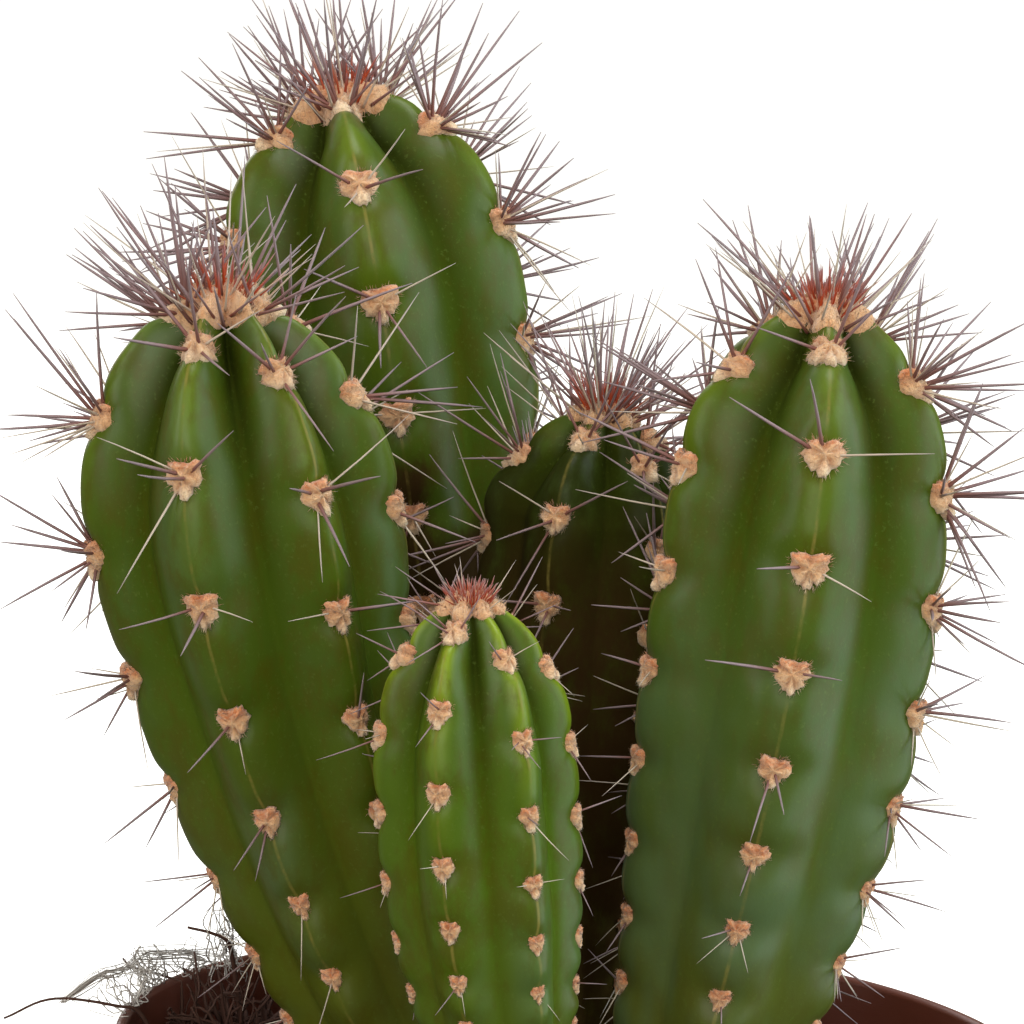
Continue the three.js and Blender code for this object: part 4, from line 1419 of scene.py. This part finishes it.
def make_pot(finish):
    """The pot is its cut edge turned about the axis, with the drain holes cut out of its floor."""
    outline = pot_outline()
    wall = round_axis(outline[:, :1], full_turn(POT_SIDES), outline[:, 1:])
    points = np.concatenate([wall.reshape(-1, 3), [[0, 0, FLOOR_THICKNESS], [0, 0, 0]]])
    total = len(outline) * POT_SIDES
    ring = np.arange(POT_SIDES)
    faces = [
        wrapped_grid(len(outline), POT_SIDES)[:, ::-1],
        fan(total, total - POT_SIDES + ring),
        fan(total + 1, ring, upward=False),
    ]
    piece = new_piece("pot_shell", points, faces, finish, "pot")
    drill_drains(piece)
    return piece


def drill_drains(piece):
    """Cuts the drain holes through the floor with one Boolean modifier, and applies it.

    Each drill is a prism that stands through the floor.
    """
    angle = full_turn(DRAIN_SIDES)
    side = np.arange(DRAIN_SIDES)
    parts = []
    for place in full_turn(DRAIN_HOLES):
        x = DRAIN_CIRCLE * math.cos(place) + DRAIN_RADIUS * np.cos(angle)
        y = DRAIN_CIRCLE * math.sin(place) + DRAIN_RADIUS * np.sin(angle)
        ends = [
            np.stack([x, y, np.full(DRAIN_SIDES, height)], -1)
            for height in (2 * FLOOR_THICKNESS, -FLOOR_THICKNESS)
        ]
        faces = [wrapped_grid(2, DRAIN_SIDES), side[None], (DRAIN_SIDES + side)[::-1][None]]
        parts.append((np.concatenate(ends), faces, {}))
    points, faces, _ = joined(parts)
    mesh = bpy.data.meshes.new("drills")
    mesh.from_pydata((points * MM).tolist(), [], face_lists(faces))
    drills = bpy.data.objects.new("drills", mesh)
    bpy.context.scene.collection.objects.link(drills)
    cut = piece.modifiers.new("Drain holes", "BOOLEAN")
    cut.object = drills
    cut.solver = "EXACT"
    bpy.context.view_layer.update()
    with bpy.context.temp_override(object=piece, active_object=piece):
        bpy.ops.object.modifier_apply(modifier=cut.name)
    bpy.data.objects.remove(drills)
    bpy.data.meshes.remove(mesh)


# Finishes

class Finish:
    """A material being built: a Principled shader and short ways to add what feeds it."""

    def __init__(self, name):
        self.material = bpy.data.materials.new(name)
        self.material.use_nodes = True
        self.tree = self.material.node_tree
        self.tree.nodes.clear()
        output = self.tree.nodes.new("ShaderNodeOutputMaterial")
        self.shader = self.tree.nodes.new("ShaderNodeBsdfPrincipled")
        self.tree.links.new(self.shader.outputs["BSDF"], output.inputs["Surface"])
        self.place = self.add("ShaderNodeTexCoord").outputs["Object"]

    def add(self, kind, settings=None, inputs=None):
        """A new node with its settings, and its inputs set or linked."""
        node = self.tree.nodes.new(kind)
        for key, value in (settings or {}).items():
            setattr(node, key, value)
        for key, value in (inputs or {}).items():
            self.feed(node.inputs[key], value)
        return node

    def feed(self, socket, value):
        """Links a socket to another, or sets its value."""
        if isinstance(value, bpy.types.NodeSocket):
            self.tree.links.new(value, socket)
        else:
            socket.default_value = value

    def mark(self, name):
        """One of the piece's own marks."""
        return self.add("ShaderNodeAttribute", {"attribute_name": name}).outputs["Fac"]

    def noise(self, size, detail=3.0, rough=0.55, stretch=(1.0, 1.0, 1.0)):
        """Noise whose patches are about size millimetres across, stretched along each axis."""
        scale = tuple(1.0 / part for part in stretch)
        mapping = self.add("ShaderNodeMapping", None, {"Vector": self.place, "Scale": scale})
        inputs = {
            "Vector": mapping.outputs[0],
            "Scale": 1.0 / (size * MM),
            "Detail": detail,
            "Roughness": rough,
        }
        return self.add("ShaderNodeTexNoise", None, inputs).outputs["Fac"]

    def step(self, value, low, high):
        """A soft step from 0 at low to 1 at high."""
        inputs = {"Value": value, "From Min": low, "From Max": high}
        return self.add("ShaderNodeMapRange", {"interpolation_type": "SMOOTHSTEP"}, inputs).outputs["Result"]

    def scaled(self, value, low, high):
        """A value from 0 to 1 brought to low to high."""
        inputs = {"Value": value, "To Min": low, "To Max": high}
        return self.add("ShaderNodeMapRange", None, inputs).outputs["Result"]

    def maths(self, operation, first, second):
        """A Math node."""
        return self.add("ShaderNodeMath", {"operation": operation}, {0: first, 1: second}).outputs[0]

    def times(self, first, second):
        """The product of two values."""
        return self.maths("MULTIPLY", first, second)

    def plus(self, first, second):
        """The sum of two values."""
        return self.maths("ADD", first, second)

    def blend(self, amount, first, second):
        """A colour between two colours."""
        node = self.add("ShaderNodeMix", {"data_type": "RGBA"}, {0: amount, 6: first, 7: second})
        return node.outputs[2]

    def bump(self, height, distance, strength):
        """A bump of about distance millimetres."""
        inputs = {"Height": height, "Distance": distance * MM, "Strength": strength}
        return self.add("ShaderNodeBump", None, inputs).outputs["Normal"]

    def paint(self, **sockets):
        """Feeds the shader's sockets, named with _ for a space."""
        for name, value in sockets.items():
            self.feed(self.shader.inputs[name.replace("_", " ")], value)
        return self.material


def skin_green(finish, settings, age, furrow, slow, patch):
    """The green of the skin: olive, brighter on young growth and at the ribs' edges near the crown.

    Old parts are duller. Over it lie yellowish patches, upright streaks of waxy bluish green that are partly
    a painted sheen, and painted shade that darkens the furrows near the crown.
    """
    youth = finish.mark("youth")
    old = finish.blend(finish.step(age, 0.4, 1.0), settings.skin_colour, settings.old_colour)
    young = finish.blend(finish.times(youth, 0.7), old, settings.young_colour)
    fresh = finish.times(finish.step(age, 0.5, 0.02), finish.step(furrow, 0.38, 0.04))
    crest = finish.times(fresh, finish.scaled(youth, -0.1, 1.2))
    top = finish.blend(crest, young, settings.crest_colour)
    # Painted sheen, partly the skin's wax: upright streaks of bluish green on the ribs, kept out of the
    # furrows.
    faint = finish.times(finish.step(slow, 0.45, 0.7), finish.step(furrow, 0.9, 0.3))
    with_sheen_bands = finish.blend(finish.times(faint, 0.4), top, settings.bloom_and_sheen_colour)
    olive = finish.times(finish.step(patch, 0.42, 0.64), 0.6)
    mottled = finish.blend(olive, with_sheen_bands, settings.olive_colour)
    # A waxy haze over the lower stem in cloudy patches, set per stem: partly the skin's wax, partly a painted
    # sheen.
    bloom_and_sheen_mask = finish.times(finish.mark("bloom_and_sheen"), finish.step(age, 0.25, 0.7))
    cloudy = finish.scaled(finish.step(slow, 0.35, 0.6), 0.15, 0.7)
    grown = finish.blend(finish.times(bloom_and_sheen_mask, cloudy), mottled, settings.bloom_and_sheen_colour)
    # Painted shade: the furrows near the crown are darkened to a dark green.
    deep = finish.times(finish.step(furrow, 0.42, 0.92), finish.step(age, 0.5, 0.0))
    return finish.blend(deep, grown, settings.furrow_shade_colour)


def cork_and_shade_green(finish, settings, green, age, cork, patch):
    """The skin's green, turned with a ragged border to dark bark: near the crown a dark green that is painted
    shade, and lower down a brown that is partly cork and partly painted shade.
    """
    ragged = finish.plus(cork, finish.scaled(patch, -0.5, 0.5))
    corky = finish.times(finish.step(ragged, 0.2, 0.8), finish.step(cork, 0.0, 0.25))
    # Painted shade: near the crown the bark is the furrows' dark green, and it turns lower down to a brown
    # that is partly cork and partly painted shade.
    bark_and_shade = finish.blend(finish.step(age, 0.12, 0.4), settings.furrow_shade_colour, settings.cork_and_shade_colour)
    return finish.blend(finish.times(corky, 0.92), green, bark_and_shade)


def skin_finish(settings):
    """Waxy skin: green with fine specks, painted shade in the furrows, cork where it is old, which on the
    stems behind the others is also painted shade, and a thin line along the ribs' edges.

    It is glossier near the crown and dull in the furrows and on cork.
    """
    finish = Finish("cactus_skin")
    age, furrow, cork = (finish.mark(name) for name in ("age", "furrow", "cork"))
    slow = finish.noise(14.0, 3.0, 0.6, (1.0, 1.0, 2.2))
    patch = finish.noise(5.0, 6.0, 0.72, (1.0, 1.0, 1.8))
    fine = finish.noise(0.6, 3.0, 0.65)
    green = skin_green(finish, settings, age, furrow, slow, patch)
    specks = finish.times(finish.step(fine, 0.56, 0.75), 0.4)
    speckled = finish.blend(specks, green, settings.speckle_colour)
    cork_and_shade = cork_and_shade_green(finish, settings, speckled, age, cork, patch)
    edge = finish.step(finish.mark("from_edge"), 0.3, 0.05)
    line = finish.times(edge, finish.scaled(finish.step(patch, 0.4, 0.65), 0.05, 0.55))
    relief = finish.plus(finish.times(fine, 0.3), patch)
    dull = finish.maths("MAXIMUM", finish.step(furrow, 0.65, 0.95), finish.step(cork, 0.0, 0.6))
    waxy = finish.times(finish.step(cork, 0.5, 0.0), finish.step(furrow, 0.95, 0.55))
    gloss = finish.times(finish.step(age, 0.3, 0.0), finish.step(furrow, 0.7, 0.4))
    return finish.paint(
        Base_Color=finish.blend(line, cork_and_shade, settings.edge_colour),
        Roughness=finish.plus(finish.scaled(slow, 0.3, 0.48), finish.scaled(dull, 0.0, 0.5)),
        Coat_Weight=finish.plus(finish.scaled(waxy, 0.0, 0.22), finish.scaled(gloss, 0.0, 0.28)),
        Coat_Roughness=0.32,
        Normal=finish.bump(relief, 0.25, 0.3),
        Specular_IOR_Level=0.04,
        Subsurface_Weight=0.06,
        Subsurface_Radius=(0.6, 1.0, 0.2),
        Subsurface_Scale=0.0015,
    )


def wool_finish(settings):
    """Wool: peach felt with darker flecks, foxy brown at each pad's upper edge, cream at its point, and
    darker in the clefts where the spines root: partly their red brown, partly painted shade.
    """
    finish = Finish("areole_wool")
    height, deep, shade = finish.mark("height"), finish.mark("deep"), finish.mark("shade")
    fine = finish.noise(0.38, 3.0, 0.7)
    cream = finish.blend(finish.step(height, -0.6, -2.4), settings.wool_colour, settings.wool_low_colour)
    upper = finish.times(finish.step(height, 0.5, 1.8), 0.75)
    foxy = finish.blend(upper, cream, settings.wool_high_colour)
    felted = finish.times(finish.step(fine, 0.45, 0.7), 0.5)
    shaded = finish.blend(felted, foxy, settings.wool_grain_and_shade_colour)
    pale = finish.scaled(finish.step(shade, -2.0, 2.0), 0.0, 0.45)
    varied = finish.blend(pale, shaded, settings.wool_low_colour)
    return finish.paint(
        # Darker in the clefts: partly the red brown of the spines' roots, partly painted shade.
        Base_Color=finish.blend(finish.times(deep, 0.4), varied, settings.wool_grain_and_shade_colour),
        Roughness=0.9,
        Normal=finish.bump(fine, 0.35, 1.0),
        Sheen_Weight=0.35,
        Sheen_Roughness=0.5,
        Subsurface_Weight=0.1,
        Subsurface_Radius=(1.0, 0.6, 0.4),
        Subsurface_Scale=0.001,
    )


def spine_finish(settings):
    """Spines: red-brown at the root, dusky along the length and paler at the tip, or straw all along."""
    finish = Finish("cactus_spines")
    along, tone, tint = finish.mark("along"), finish.mark("tone"), finish.mark("tint")
    dark = finish.blend(finish.step(along, 0.0, 0.55), settings.spine_root_colour, settings.spine_dark_colour)
    light = finish.blend(finish.step(along, 0.35, 1.0), settings.spine_pale_colour, settings.spine_tip_colour)
    mixed = finish.blend(finish.step(tone, 0.25, 0.7), light, dark)
    foxy = finish.times(tint, finish.step(along, 1.3, 0.3))
    colour = finish.blend(foxy, mixed, settings.spine_fox_colour)
    return finish.paint(Base_Color=colour, Roughness=0.5, Specular_IOR_Level=0.2)


def soil_finish(settings):
    """Peat: near-black brown with paler crumbs and a rough, broken surface."""
    finish = Finish("potting_soil")
    grain, lumps = finish.noise(0.8, 4.0, 0.7), finish.noise(4.0, 3.0, 0.6)
    base = finish.blend(finish.step(lumps, 0.35, 0.7), settings.soil_dark_colour, settings.soil_colour)
    crumbs = finish.blend(finish.times(finish.mark("crumb"), 0.6), base, settings.soil_pale_colour)
    grainy = finish.times(finish.step(grain, 0.5, 0.8), 0.5)
    colour = finish.blend(grainy, crumbs, settings.soil_pale_colour)
    return finish.paint(Base_Color=colour, Roughness=0.95, Normal=finish.bump(grain, 0.8, 0.9))


def fibre_finish(settings):
    """Coconut fibre: from pale grey-brown to dark brown, strand by strand."""
    finish = Finish("coir_fibre")
    colour = finish.blend(finish.mark("dark"), settings.fibre_pale_colour, settings.fibre_dark_colour)
    varied = finish.blend(finish.times(finish.noise(2.0), 0.4), colour, settings.fibre_dark_colour)
    return finish.paint(Base_Color=varied, Roughness=0.9, Specular_IOR_Level=0.12)


def plastic_finish(settings):
    """Thin moulded plastic: dark red-brown, with a faint haze of dust, fine scuffs and a soft gloss."""
    finish = Finish("pot_plastic")
    haze, scuff = finish.noise(22.0, 3.0, 0.6), finish.noise(0.5, 4.0, 0.7, (1.0, 1.0, 0.2))
    dusty = finish.blend(finish.scaled(haze, 0.0, 0.35), settings.plastic_colour, settings.dust_colour)
    scuffed = finish.times(finish.step(scuff, 0.62, 0.8), 0.3)
    return finish.paint(
        Base_Color=finish.blend(scuffed, dusty, settings.dust_colour),
        Roughness=finish.scaled(haze, 0.3, 0.5),
        Normal=finish.bump(scuff, 0.05, 0.5),
    )


def floor_finish(settings):
    """A plain pale floor that glows a little, so that it stays light all the way back."""
    finish = Finish("studio_floor")
    tone = finish.blend(finish.noise(300.0), settings.floor_colour, settings.floor_shade_colour)
    return finish.paint(Base_Color=tone, Roughness=0.8, Emission_Color=tone, Emission_Strength=0.9)


# Settings

def colour_setting(name, description, code):
    """A colour that the user can change."""
    default = linear_colour(code)
    return FloatVectorProperty(
        name=name, description=description, subtype="COLOR", size=4, min=0.0, max=1.0, default=default)


def length_setting(name, description, metres):
    """A length that the user can change."""
    return FloatProperty(name=name, description=description, default=metres, min=0.0, unit="LENGTH")


def angle_setting(name, description, degrees):
    """An angle that the user can change."""
    return FloatProperty(name=name, description=description, default=math.radians(degrees), subtype="ANGLE")


def count_setting(name, description, count):
    """How many there are of something, which the user can change."""
    return IntProperty(name=name, description=description, default=count, min=1)


class StemSettings(PropertyGroup):
    """Sizes and colours of the stems, their wool and their spines."""

    spine_width: length_setting("Spine width", "Thickness of a long spine near its root", 0.00047)
    crown_spines: count_setting("Crown spines", "Spines in the tuft on each full crown", 125)
    pad_hairs: count_setting("Pad hairs", "Hairs that stand out of each woolly pad", 190)
    crown_hairs: count_setting("Crown hairs", "Hairs on each crown", 900)
    skin_colour: colour_setting("Skin", "Green of grown skin", "38470c")
    old_colour: colour_setting("Old skin", "Olive green near the soil", "4d4714")
    young_colour: colour_setting("Young skin", "Bright green of new growth", "4b6610")
    crest_colour: colour_setting("Young ribs", "Yellow green of the ribs' edges near the crown", "7c901a")
    # Bluish green of the waxy haze, which is partly a painted sheen.
    bloom_and_sheen_colour: colour_setting("Bloom", "Waxy bluish green of the flanks", "4b6040")
    olive_colour: colour_setting("Olive patches", "Yellowish patches in the skin", "454208")
    # Dark green of the painted shade in the furrows, and of the painted shade on the bark near a shaded
    # stem's crown.
    furrow_shade_colour: colour_setting("Furrows", "Dark green between the ribs", "1f2503")
    speckle_colour: colour_setting("Speckles", "Tiny pale specks in the skin", "55662c")
    # Brown of the bark low on the stems: partly cork, partly painted shade on the stems that stand behind.
    cork_and_shade_colour: colour_setting("Cork", "Dark brown of corky old skin", "332010")
    edge_colour: colour_setting("Rib edges", "Thin corky line along each rib", "8a7c3e")
    wool_colour: colour_setting("Wool", "Main colour of the pads", "d09c6c")
    wool_low_colour: colour_setting("Wool below", "Cream at a pad's lower point", "e6c8a4")
    wool_high_colour: colour_setting("Wool above", "Foxy brown at a pad's upper edge", "c8682c")
    # Dark flecks in the felt, and the painted shade in the clefts between the tufts.
    wool_grain_and_shade_colour: colour_setting("Wool shade", "Between the tufts", "8a4622")
    spine_root_colour: colour_setting("Spine roots", "Red brown where dark spines start", "6e4a42")
    spine_dark_colour: colour_setting("Dark spines", "Dusky length of a dark spine", "84777b")
    spine_pale_colour: colour_setting("Pale spines", "Straw of the old short spines", "beb4a4")
    spine_tip_colour: colour_setting("Spine tips", "Tips of pale spines", "aaa098")
    spine_fox_colour: colour_setting("Crown spines", "Foxy red at the crown", "a83e16")


class SoilSettings(PropertyGroup):
    """Amounts and colours of the soil and its fibres."""

    crumbs: count_setting("Crumbs", "Crumbs of peat, before those under the stems are left out", 1500)
    web_fibres: count_setting("Web fibres", "Fine fibres over the rim on the left", 70)
    clump_fibres: count_setting("Clump fibres", "Fibres of the clump on the left", 130)
    litter_fibres: count_setting("Loose fibres", "Fibres that lie on the soil", 120)
    soil_colour: colour_setting("Soil", "Main brown of the peat", "44261a")
    soil_dark_colour: colour_setting("Soil shade", "Darkest peat", "24130c")
    soil_pale_colour: colour_setting("Crumbs", "Pale crumbs", "6a4430")
    fibre_pale_colour: colour_setting("Pale fibre", "Grey-brown fine fibre", "e2deda")
    fibre_dark_colour: colour_setting("Dark fibre", "Dark brown strand", "40241a")


class PotSettings(PropertyGroup):
    """Colours of the pot."""

    plastic_colour: colour_setting("Plastic", "Dark red-brown plastic", "5c2a1c")
    dust_colour: colour_setting("Dust", "Dry dust on the plastic", "7c4c3c")


class StageSettings(PropertyGroup):
    """Settings of the camera and the floor."""

    camera_distance: length_setting("Camera distance", "From the camera to the point it looks at", 0.72)
    camera_pitch: angle_setting("Camera pitch", "How far the camera looks down", 9.4)
    camera_roll: angle_setting("Camera roll", "How far the camera is turned about its own line of sight", 3.4)
    lens: FloatProperty(
        name="Lens", description="Focal length on a 36 mm sensor, in millimetres", default=199.3)
    floor_size: length_setting("Floor size", "Side of the square floor", 12.0)
    floor_colour: colour_setting("Floor", "Pale floor", "f4f4f2")
    floor_shade_colour: colour_setting("Floor shade", "Slightly darker floor", "efefed")


# Operators

STEMS = [Stem(plan) for plan in STEM_PLANS]


class CACTUS_OT_stems(Operator):
    """Build the stems: skin, wool and spines"""

    bl_idname = "cactus.build_stems"
    bl_label = "Build stems"

    def execute(self, context):
        settings = context.scene.cactus_stems
        skin, wool, spine = skin_finish(settings), wool_finish(settings), spine_finish(settings)
        for stem in STEMS:
            make_skin(stem, skin)
            make_wool(stem, settings, wool)
            make_spines(stem, STEMS, settings, spine)
        return {"FINISHED"}


class CACTUS_OT_soil(Operator):
    """Build the soil, its crumbs and its fibres"""

    bl_idname = "cactus.build_soil"
    bl_label = "Build soil"

    def execute(self, context):
        settings = context.scene.cactus_soil
        peat = soil_finish(settings)
        make_soil(peat)
        make_crumbs(STEMS, settings, peat)
        make_fibres(STEMS, settings, fibre_finish(settings))
        return {"FINISHED"}


class CACTUS_OT_pot(Operator):
    """Build the plastic pot"""

    bl_idname = "cactus.build_pot"
    bl_label = "Build pot"

    def execute(self, context):
        make_pot(plastic_finish(context.scene.cactus_pot))
        return {"FINISHED"}


# Stage

CAMERA_TARGET = Vector((-0.0129, 0.0, 0.1743))
SENSOR_WIDTH = 36.0
LIT_POINT = Vector((0.0, 0.0, 0.16))
# Each softbox: its name, its place, its width and height, its power in watts and its colour
SOFTBOXES = (
    ("softbox_front", (-0.2, -1.3, 0.6), 1.2, 1.0, 14.3, (1.0, 0.97, 0.88)),
    ("softbox_right", (0.99, -0.1, 0.28), 1.2, 1.4, 20.0, (0.8, 0.95, 1.0)),
    ("softbox_left", (-0.95, -0.4, 0.5), 0.4, 0.9, 4.0, (1.0, 1.0, 1.0)),
    ("softbox_back", (-0.6, 1.1, 0.6), 0.8, 0.8, 5.0, (1.0, 1.0, 1.0)),
    ("softbox_top", (0.1, -0.1, 1.2), 0.6, 0.6, 7.0, (1.0, 1.0, 1.0)),
)
AMBIENT_COLOUR = (1.0, 0.93, 0.8, 1.0)
AMBIENT_STRENGTH = 0.3


def add_camera(settings):
    """The camera looks down on the stems from the front and is slightly rolled."""
    pitch, roll = settings.camera_pitch, settings.camera_roll
    ahead = Vector((0.0, math.cos(pitch), -math.sin(pitch)))
    right = Vector((1.0, 0.0, 0.0))
    above = right.cross(ahead)
    rolled_right = math.cos(roll) * right + math.sin(roll) * above
    rolled_above = math.cos(roll) * above - math.sin(roll) * right
    data = bpy.data.cameras.new("camera")
    data.lens = settings.lens
    data.sensor_width = SENSOR_WIDTH
    camera = bpy.data.objects.new("camera", data)
    turn = Matrix((rolled_right, rolled_above, -ahead)).transposed()
    place = CAMERA_TARGET - ahead * settings.camera_distance
    camera.matrix_world = Matrix.Translation(place) @ turn.to_4x4()
    bpy.context.scene.collection.objects.link(camera)
    bpy.context.scene.camera = camera


def add_softbox(name, place, width, height, power, colour):
    """A rectangular area light that faces the stems."""
    data = bpy.data.lights.new(name, "AREA")
    data.shape = "RECTANGLE"
    data.size = width
    data.size_y = height
    data.energy = power
    data.color = colour
    light = bpy.data.objects.new(name, data)
    light.location = place
    light.rotation_euler = (LIT_POINT - Vector(place)).to_track_quat("-Z", "Y").to_euler()
    bpy.context.scene.collection.objects.link(light)


def add_floor(settings):
    """One square that the camera sees, but that neither lights the object nor shows in its gloss."""
    half = settings.floor_size / 2
    mesh = bpy.data.meshes.new("floor")
    corners = [(-half, -half, 0), (half, -half, 0), (half, half, 0), (-half, half, 0)]
    mesh.from_pydata(corners, [], [(0, 1, 2, 3)])
    mesh.materials.append(floor_finish(settings))
    floor = bpy.data.objects.new("floor", mesh)
    bpy.context.scene.collection.objects.link(floor)
    floor.visible_diffuse = False
    floor.visible_glossy = False


def add_ambient_light():
    """A world of one warm, dim colour."""
    world = bpy.data.worlds.new("studio")
    world.use_nodes = True
    background = world.node_tree.nodes["Background"]
    background.inputs["Color"].default_value = AMBIENT_COLOUR
    background.inputs["Strength"].default_value = AMBIENT_STRENGTH
    bpy.context.scene.world = world


class CACTUS_OT_stage(Operator):
    """Build the floor, the lights and the camera"""

    bl_idname = "cactus.build_stage"
    bl_label = "Build stage"

    def execute(self, context):
        settings = context.scene.cactus_stage
        add_floor(settings)
        add_camera(settings)
        for softbox in SOFTBOXES:
            add_softbox(*softbox)
        add_ambient_light()
        context.scene.view_settings.view_transform = "Standard"
        return {"FINISHED"}


class CACTUS_PT_panel(Panel):
    """Lists the settings, with a button under each group that builds its pieces"""

    bl_label = "Potted Tall Cactus"
    bl_idname = "CACTUS_PT_panel"
    bl_space_type = "VIEW_3D"
    bl_region_type = "UI"
    bl_category = "Cactus"

    def draw(self, context):
        for group, operator in (
            (context.scene.cactus_pot, CACTUS_OT_pot),
            (context.scene.cactus_soil, CACTUS_OT_soil),
            (context.scene.cactus_stems, CACTUS_OT_stems),
            (context.scene.cactus_stage, CACTUS_OT_stage),
        ):
            box = self.layout.box()
            for name in group.__annotations__:
                box.prop(group, name)
            box.operator(operator.bl_idname)


CLASSES = (
    StemSettings,
    SoilSettings,
    PotSettings,
    StageSettings,
    CACTUS_OT_stems,
    CACTUS_OT_soil,
    CACTUS_OT_pot,
    CACTUS_OT_stage,
    CACTUS_PT_panel,
)

SETTINGS = {
    "cactus_stems": StemSettings,
    "cactus_soil": SoilSettings,
    "cactus_pot": PotSettings,
    "cactus_stage": StageSettings,
}


def register():
    """Adds the classes and the settings."""
    for item in CLASSES:
        bpy.utils.register_class(item)
    for name, group in SETTINGS.items():
        setattr(bpy.types.Scene, name, PointerProperty(type=group))


def unregister():
    """Takes the settings and the classes away again."""
    for name in SETTINGS:
        delattr(bpy.types.Scene, name)
    for item in reversed(CLASSES):
        bpy.utils.unregister_class(item)


def main():
    """Builds everything."""
    register()
    bpy.ops.cactus.build_stage()
    bpy.ops.cactus.build_pot()
    bpy.ops.cactus.build_soil()
    bpy.ops.cactus.build_stems()


if __name__ == "__main__":
    main()
